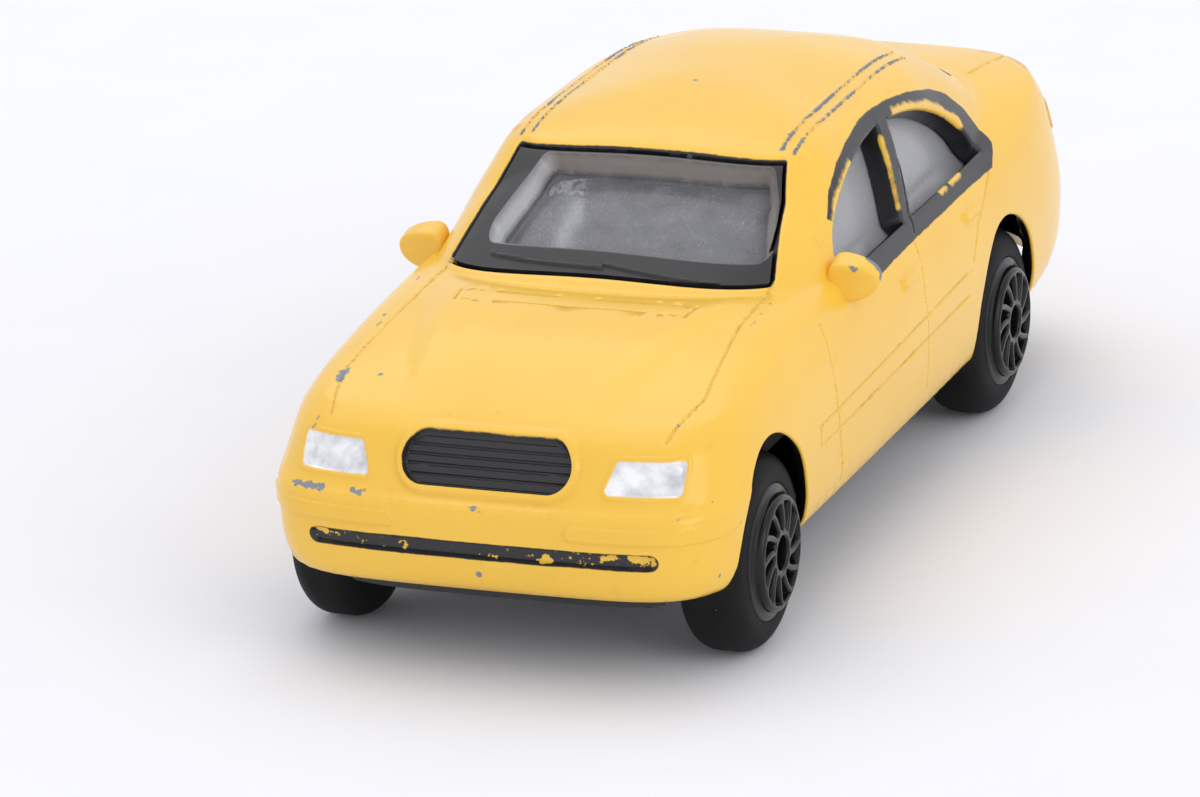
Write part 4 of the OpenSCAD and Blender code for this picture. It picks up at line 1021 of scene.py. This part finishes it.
# Depth of the moulding's front and back below the body's surface, and by how much the front swells
# out in an opening and sinks back in the pane.
FRONT_DEPTH, BACK_DEPTH, SWELL = 1.5, 2.4, 1.35
# Width of the seam, and ramps at the edges of the swell, the pane and the wipers.
SEAM, PAD_RAMP, PANE_RAMP, WIPER_RAMP = 0.05, 0.1, 0.16, 0.08
# Row at which the moulding starts, shortest and longest edges, and how far beyond the opening's
# edge the spray can reach.
GLASS_FOOT, GLASS_FINE, GLASS_COARSE, SPRAY_END = 1.93, 0.15, 0.8, 0.35


def wipers(p):
    """Two thin arms along the foot of the windscreen, as seen from the front."""
    arms = [stroke(p[:, 0], p[:, 2], arm, WIPER_W) for arm in WIPERS]
    return overlap(union(*arms), p[:, 1] - CROWN_Y)


def pads(p):
    """Where the glass swells out into an opening, with a narrow seam round it."""
    return union(windscreen(p), rear_window(p)) + SEAM


def pane(p):
    """The clear part of the windscreen, sunk below its black border."""
    return overlap(region(p[:, 0], arched(p), PANE, PANE_CORNER), p[:, 1] - CROWN_Y)


def glass_wanted(p):
    """Edge length in mm: short beside the seams, the pane's edge and the wipers."""
    fine = union(np.abs(pads(p)), np.abs(pane(p)), np.abs(wipers(p)))
    return np.clip(GLASS_FINE + 0.6 * fine, GLASS_FINE, GLASS_COARSE)


cv, tri = grid(steps(ALONG, (12, 48, 12)), steps((GLASS_FOOT, 3, 4), (14, 8)))
cv, tri = refine(cv, tri, glass_wanted, passes=4)
for shape, ramp in ((pads, PAD_RAMP), (pane, PANE_RAMP), (wipers, WIPER_RAMP)):
    for level in (0.0, -ramp):
        for side in (1, -1):
            cv, tri = score(cv, tri, lambda p: shape(p * (side, 1, 1)), level)
smooth, tri, out = mirrored(body_point(cv), tri, body_normal(cv))
out[len(cv):, 0] *= -1
depth = FRONT_DEPTH - SWELL * fill(pads(smooth), PAD_RAMP) \
    + SWELL * fill(pane(smooth), PANE_RAMP) - WIPER_H * fill(wipers(smooth), WIPER_RAMP)
front, rear = smooth - out * depth[:, None], smooth - out * BACK_DEPTH
arm = np.concatenate([wipers(smooth), np.full(len(rear), FAR)])
border = overlap(windscreen(smooth), -pane(smooth))
border = np.tile(np.where(windscreen(smooth) > SPRAY_END, FAR, border), 2)
shell, faces = thickened(front, tri, rear, tri)


def styrene_glass():
    """Clear styrene, moulded: it lets light through, but fine scratches and years of dust have
    made it milky, so it is part clear and part grey. Black is sprayed on the windscreen's border
    and wipers."""
    material, tree, at = new_material("moulded_clear_styrene")
    border, arm = (add(tree, "Attribute", {"attribute_name": key}, out="Fac")
                   for key in ("border_mm", "wiper_mm"))
    dust = add(tree, "TexNoise", {"Scale": per_mm(1.4), "Detail": 6.0, "Roughness": 0.65},
               {"Vector": at})
    haze = add(tree, "MapRange", {"From Min": 0.3, "From Max": 0.75, "To Min": 0.3, "To Max": 0.6},
               {"Value": dust})
    # Scratches: long thin streaks, each a narrow band of a stretched noise.
    lanes = add(tree, "Mapping", {"Rotation": (0.4, 0.5, 0.6), "Scale": (1.0, 0.12, 1.0)},
                {"Vector": at})
    streak = add(tree, "TexNoise", {"Scale": per_mm(0.9), "Detail": 2.0}, {"Vector": lanes})
    streak = add(tree, "Math", {"operation": "PINGPONG", 1: 0.05}, {0: streak})
    streak = add(tree, "MapRange", {"From Min": 0.003, "From Max": 0.0, "To Max": 0.5},
                 {"Value": streak})
    haze = add(tree, "Math", {"operation": "ADD", "use_clamp": True}, {0: haze, 1: streak})
    # The pane's sloping edge is less clear and tinted brown: painted shade, standing for the dark
    # walls seen through it. On the far side it turns near white instead: a painted highlight where
    # it faces the light.
    slope = add(tree, "MapRange", {"From Min": 0.22, "From Max": 0.12, "To Max": 0.75},
                {"Value": border})
    haze = add(tree, "Math", {"operation": "MAXIMUM"}, {0: haze, 1: slope})
    far = add(tree, "SeparateXYZ", {}, {"Vector": at}, out="X")
    far = add(tree, "MapRange", {"From Min": -5.2 * MM, "From Max": -6.4 * MM}, {"Value": far})
    edge = add(tree, "Mix", {"data_type": "RGBA", 6: colour("#b3aaa2"), 7: colour("#f0f1f3")},
               {0: far})
    fog = add(tree, "Mix", {"data_type": "RGBA", 6: colour("#8f9095")}, {0: slope, 7: edge})
    # The side and rear windows, further from the border, are milkier from scratches, and whiter: a
    # painted reflection of the white room.
    rubbed = add(tree, "MapRange", {"From Min": 2.0, "From Max": 3.0, "To Max": 0.62},
                 {"Value": border})
    haze = add(tree, "Math", {"operation": "MAXIMUM"}, {0: haze, 1: rubbed})
    fog = add(tree, "Mix", {"data_type": "RGBA", 7: colour("#e0e1e5")}, {0: rubbed, 6: fog})
    clear = add(tree, "BsdfPrincipled", {"Base Color": colour("#e9edf0"), "Roughness": 0.12,
                                         "IOR": 1.45, "Transmission Weight": 1.0})
    milky = add(tree, "BsdfPrincipled", {"Roughness": 0.4, "IOR": 1.5}, {"Base Color": fog})
    glass = add(tree, "MixShader", {}, {0: haze, 1: clear, 2: milky})
    covered = [add(tree, "MapRange", {"From Min": 0.06, "From Max": -0.06}, {"Value": v})
               for v in (border, arm)]
    covered = add(tree, "Math", {"operation": "MAXIMUM"}, {0: covered[0], 1: covered[1]})
    spray = add(tree, "Mix", {"data_type": "RGBA", 6: colour("#1b1b1d"), 7: colour("#2c2b2c")},
                {0: dust})
    black = add(tree, "BsdfPrincipled", {"Roughness": 0.45, "IOR": 1.5}, {"Base Color": spray})
    return finish_material(material, add(tree, "MixShader", {}, {0: covered, 1: glass, 2: black}))


glazing = make_piece("window_moulding", shell, faces, styrene_glass(), "car", "glazing", sharp=40,
                     wiper_mm=arm, border_mm=border)
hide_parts("glazing")

# %% [markdown]
# Each tyre is a ring turned from one profile: bore, flat sidewalls, round shoulders and a plain
# tread. It could be a torus with flattened sides; a list of profile points carried round the axle
# gives the true shoulders and the small ledge where the hub's flange lies.

# %% tyres
def arc(middle, radius, start, stop, count):
    """Points of an arc in the plane of radius and width, between two angles in degrees."""
    a = np.radians(np.linspace(start, stop, count))
    return np.stack([middle[0] + radius * np.cos(a), middle[1] + radius * np.sin(a)], 1)


def turned(profile, turns):
    """A closed profile of (radius, place along the axle) carried round the axle: the point is
    (place, radius times sine, minus radius times cosine of the turn)."""
    uv, tri = grid(np.linspace(0, 1, turns + 1), np.linspace(0, 1, len(profile)))
    r, x = np.repeat(profile, turns + 1, axis=0).T
    a = 2 * np.pi * uv[:, 0]
    return welded(np.stack([x, r * np.sin(a), -r * np.cos(a)], 1), tri)


def at_wheel(points, tri, side, y):
    """Moves a left wheel piece to its axle, or mirrors it to the right with its triangles
    walked the other way."""
    return points * (side, 1, 1) + (0, y, AXLE_Z), tri if side > 0 else tri[:, ::-1]


TYRE = np.concatenate([
    [(3.0, 12.95), (3.0, 11.4), (3.0, 9.45), (3.6, 9.45), (4.1, 9.45)],
    arc((SHOULDER[0], 10.85), SHOULDER_R, -90, 0, 11), [(5.6, 11.1), (5.6, 11.4), (5.6, 11.7)],
    arc(SHOULDER, SHOULDER_R, 0, 90, 11),
    [(4.05, 13.35), (3.92, 13.35), (3.87, 13.31), (3.87, 12.96), (3.4, 12.95), (3.0, 12.95)]])


def tyre_plastic():
    """Soft moulded plastic, black and matt: dust lies on the sidewalls, and lint sticks to it as
    pale specks."""
    material, tree, at = new_material("moulded_soft_vinyl")
    dust = add(tree, "TexNoise", {"Scale": per_mm(2.2), "Detail": 5.0, "Roughness": 0.7},
               {"Vector": at})
    veil = add(tree, "MapRange", {"From Min": 0.35, "From Max": 0.72}, {"Value": dust})
    tone = add(tree, "Mix", {"data_type": "RGBA", 6: colour("#0a0a0b"), 7: colour("#161618")},
               {0: veil})
    away, few = few_spots(tree, at, size=0.8, share=0.9)
    speck = add(tree, "MapRange", {"From Min": 0.09, "From Max": 0.05}, {"Value": away})
    speck = add(tree, "Math", {"operation": "MULTIPLY"}, {0: few, 1: speck})
    tone = add(tree, "Mix", {"data_type": "RGBA", 7: colour("#8d8c8b")}, {0: speck, 6: tone})
    rough = add(tree, "MapRange", {"To Min": 0.5, "To Max": 0.75}, {"Value": dust})
    grain = add(tree, "TexNoise", {"Scale": per_mm(0.25), "Detail": 2.0}, {"Vector": at})
    bump = add(tree, "Bump", {"Strength": 0.25, "Distance": 0.02 * MM}, {"Height": grain})
    # Dust and pores leave little of the smooth plastic's gloss.
    vinyl = add(tree, "BsdfPrincipled", {"IOR": 1.5, "Specular IOR Level": 0.2},
                {"Base Color": tone, "Roughness": rough, "Normal": bump})
    return finish_material(material, vinyl)


WHEELS = {"front_left": (1, FRONT_AXLE_Y), "front_right": (-1, FRONT_AXLE_Y),
          "rear_left": (1, REAR_AXLE_Y), "rear_right": (-1, REAR_AXLE_Y)}
vinyl = tyre_plastic()
ring, ring_tri = turned(TYRE, turns=120)
for name, (side, y) in WHEELS.items():
    tyre = make_piece(name + "_tyre_ring", *at_wheel(ring, ring_tri, side, y), vinyl,
                      name.split("_")[0] + "_wheelset", "tyre", sharp=50)
    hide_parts(name + "_tyre")

# %% [markdown]
# The hub is one glossy black moulding with twelve curved spokes and an open middle. Cutting
# openings with booleans leaves ragged edges, so the grid itself is bent: its columns lean along
# the spokes, an arc that starts at the axle, and every spoke takes the same few columns. Then a
# depth for each column, times a depth for each ring, sinks the openings and rounds their rims.

# %% hubs
SPOKES, SPOKE_W, BEND, OPENING_DEPTH = 12, 0.42, 3.3, 0.9
# The spokes bend between these radii. Near the axle their width grows no further than at a least
# radius, nor beyond a largest half turn.
HOLE_R, RIM_R, LEAST_R, MOST_TURN = 0.95, 3.3, 1.1, 0.19
# Each ring: radius, place along the axle, and the share of the openings' depth.
RINGS = np.array([
    (0.75, 12.05, 0), (0.95, 12.05, 0), (0.95, 13.0, 0), (0.95, 13.85, 0), (0.98, 13.94, 0),
    (1.06, 14.0, 0), (1.17, 14.0, 0), (1.25, 14.0, 0.01), (1.31, 14.0, 0.05), (1.35, 14.0, 0.2),
    (1.38, 14.0, 0.9), (1.44, 14.0, 1), (1.65, 14.0, 1), (1.9, 14.0, 1), (2.15, 14.0, 1),
    (2.4, 14.0, 1), (2.62, 14.0, 1), (2.76, 14.0, 0.97), (2.84, 14.0, 0.6), (2.89, 14.0, 0.12),
    (2.95, 14.0, 0.02), (3.03, 13.99, 0), (3.14, 13.95, 0), (3.23, 13.88, 0), (3.28, 13.78, 0),
    (3.3, 13.65, 0), (3.3, 13.52, 0), (3.33, 13.47, 0), (3.6, 13.4, 0), (3.78, 13.36, 0),
    (3.84, 13.32, 0), (3.85, 13.26, 0), (3.85, 12.97, 0), (3.0, 12.95, 0), (3.0, 9.3, 0),
    (0.75, 9.3, 0), (0.75, 12.05, 0)])
# Each column: place between two spokes, from 0 at one wall to 1 at the next, and its own depth.
# Those from -1 to 0 lie on the spoke.
COLUMNS = np.array([
    (-1.0, 0.14), (-0.88, 0.05), (-0.7, 0.01), (-0.5, 0), (-0.3, 0.01), (-0.12, 0.05), (0.0, 0.14),
    (0.07, 0.75), (0.18, 0.95), (0.35, 1), (0.5, 1), (0.65, 1), (0.82, 0.95), (0.93, 0.75)])


def hub_shape():
    """Rings by columns: a column's turn is its place on the spoke (that share of the spoke's
    width over the radius) or between spokes, plus the spoke's own bend, arcsine of radius over
    twice the bend radius; the place along the axle sinks by the openings' depth times both
    shares."""
    r, x, sunk = RINGS[:, :, None].transpose(1, 0, 2)
    place, depth = COLUMNS.T
    half = np.minimum(SPOKE_W / 2 / np.maximum(r, LEAST_R), MOST_TURN)
    pitch = 2 * np.pi / SPOKES
    on_spoke = (2 * place + 1) * half
    between = half + place * (pitch - 2 * half)
    turn = np.where(place <= 0, on_spoke, between)
    turn = turn + np.arcsin(np.clip(r, HOLE_R, RIM_R) / (2 * BEND))
    turn = (turn[:, None, :] + pitch * np.arange(SPOKES)[None, :, None]).reshape(len(RINGS), -1)
    turn = np.hstack([turn, turn[:, :1] + 2 * np.pi])
    x = x - OPENING_DEPTH * sunk * depth
    x = np.hstack([np.tile(x, SPOKES), x[:, :1]])
    return np.stack([x, r * np.sin(turn), -r * np.cos(turn)], 2).reshape(-1, 3)


def hub_plastic():
    """Hard moulded plastic, black and glossy: bright edges where it catches the lamp, fine dust
    in the openings, and a skin that flows a little."""
    material, tree, at = new_material("moulded_gloss_abs")
    dust = add(tree, "TexNoise", {"Scale": per_mm(0.9), "Detail": 5.0, "Roughness": 0.7},
               {"Vector": at})
    tone = add(tree, "Mix", {"data_type": "RGBA", 6: colour("#0a0a0b"), 7: colour("#161618")},
               {0: dust})
    rough = add(tree, "MapRange", {"To Min": 0.08, "To Max": 0.36}, {"Value": dust})
    flow = add(tree, "TexNoise", {"Scale": per_mm(0.7), "Detail": 1.0}, {"Vector": at})
    bump = add(tree, "Bump", {"Strength": 0.2, "Distance": 0.03 * MM}, {"Height": flow})
    plastic = add(tree, "BsdfPrincipled", {"IOR": 1.53, "Specular IOR Level": 0.3},
                  {"Base Color": tone, "Roughness": rough, "Normal": bump})
    return finish_material(material, plastic)


gloss_black = hub_plastic()
columns = SPOKES * len(COLUMNS) + 1
disc, disc_tri = welded(hub_shape(), grid(np.arange(columns), np.arange(len(RINGS)))[1])
for name, (side, y) in WHEELS.items():
    hub = make_piece(name + "_spoked_hub", *at_wheel(disc, disc_tri, side, y), gloss_black,
                     name.split("_")[0] + "_wheelset", "hub", sharp=55)
    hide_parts(name + "_hub")

# %% [markdown]
# What hides inside or below keeps its CAD shape: seats, base plate, axles and rivets are plain
# mouldings and wire on the real toy as well. They only need their finish.

# %% finishes for the hidden pieces
def moulding(name, dark, light, rough, grain_mm):
    """Moulded plastic: two tones that flow into each other, a fine grain from the mould, and a
    gloss that is broken by handling."""
    material, tree, at = new_material(name)
    flow = add(tree, "TexNoise", {"Scale": per_mm(5), "Detail": 4.0}, {"Vector": at})
    tone = add(tree, "Mix", {"data_type": "RGBA", 6: colour(dark), 7: colour(light)}, {0: flow})
    grain = add(tree, "TexNoise", {"Scale": per_mm(grain_mm), "Detail": 3.0}, {"Vector": at})
    shine = add(tree, "MapRange", {"To Min": rough - 0.1, "To Max": rough + 0.1}, {"Value": grain})
    bump = add(tree, "Bump", {"Strength": 0.3, "Distance": 0.02 * MM}, {"Height": grain})
    return finish_material(material, add(tree, "BsdfPrincipled", {"IOR": 1.5}, {
        "Base Color": tone, "Roughness": shine, "Normal": bump}))


def wire():
    """Drawn steel wire: bright, with fine lines along the pull of the die and a grey film of
    grease."""
    material, tree, at = new_material("drawn_steel_wire")
    along = add(tree, "Mapping", {"Scale": (0.05, 1.0, 1.0)}, {"Vector": at})
    lines = add(tree, "TexNoise", {"Scale": per_mm(0.12), "Detail": 3.0}, {"Vector": along})
    tone = add(tree, "Mix", {"data_type": "RGBA", 6: colour("#8d8f92"), 7: colour("#b9bbbd")},
               {0: lines})
    shine = add(tree, "MapRange", {"To Min": 0.25, "To Max": 0.45}, {"Value": lines})
    return finish_material(material, add(tree, "BsdfPrincipled", {"Metallic": 1.0}, {
        "Base Color": tone, "Roughness": shine}))


steel = wire()
grey = moulding("moulded_grey_styrene", "#9b9d9b", "#b1b2b0", rough=0.5, grain_mm=0.4)
black = moulding("moulded_black_abs", "#1c1c1e", "#2a2a2c", rough=0.5, grain_mm=0.3)
finishes = {"interior_tub": grey, "base_plate": black,
            "front_axle": steel, "rear_axle": steel, "front_rivet": steel, "rear_rivet": steel}
for name, finish in finishes.items():
    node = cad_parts[name]
    node.data.materials.clear()
    node.data.materials.append(finish)
print("CAD nodes with a finish:", ", ".join(finishes))
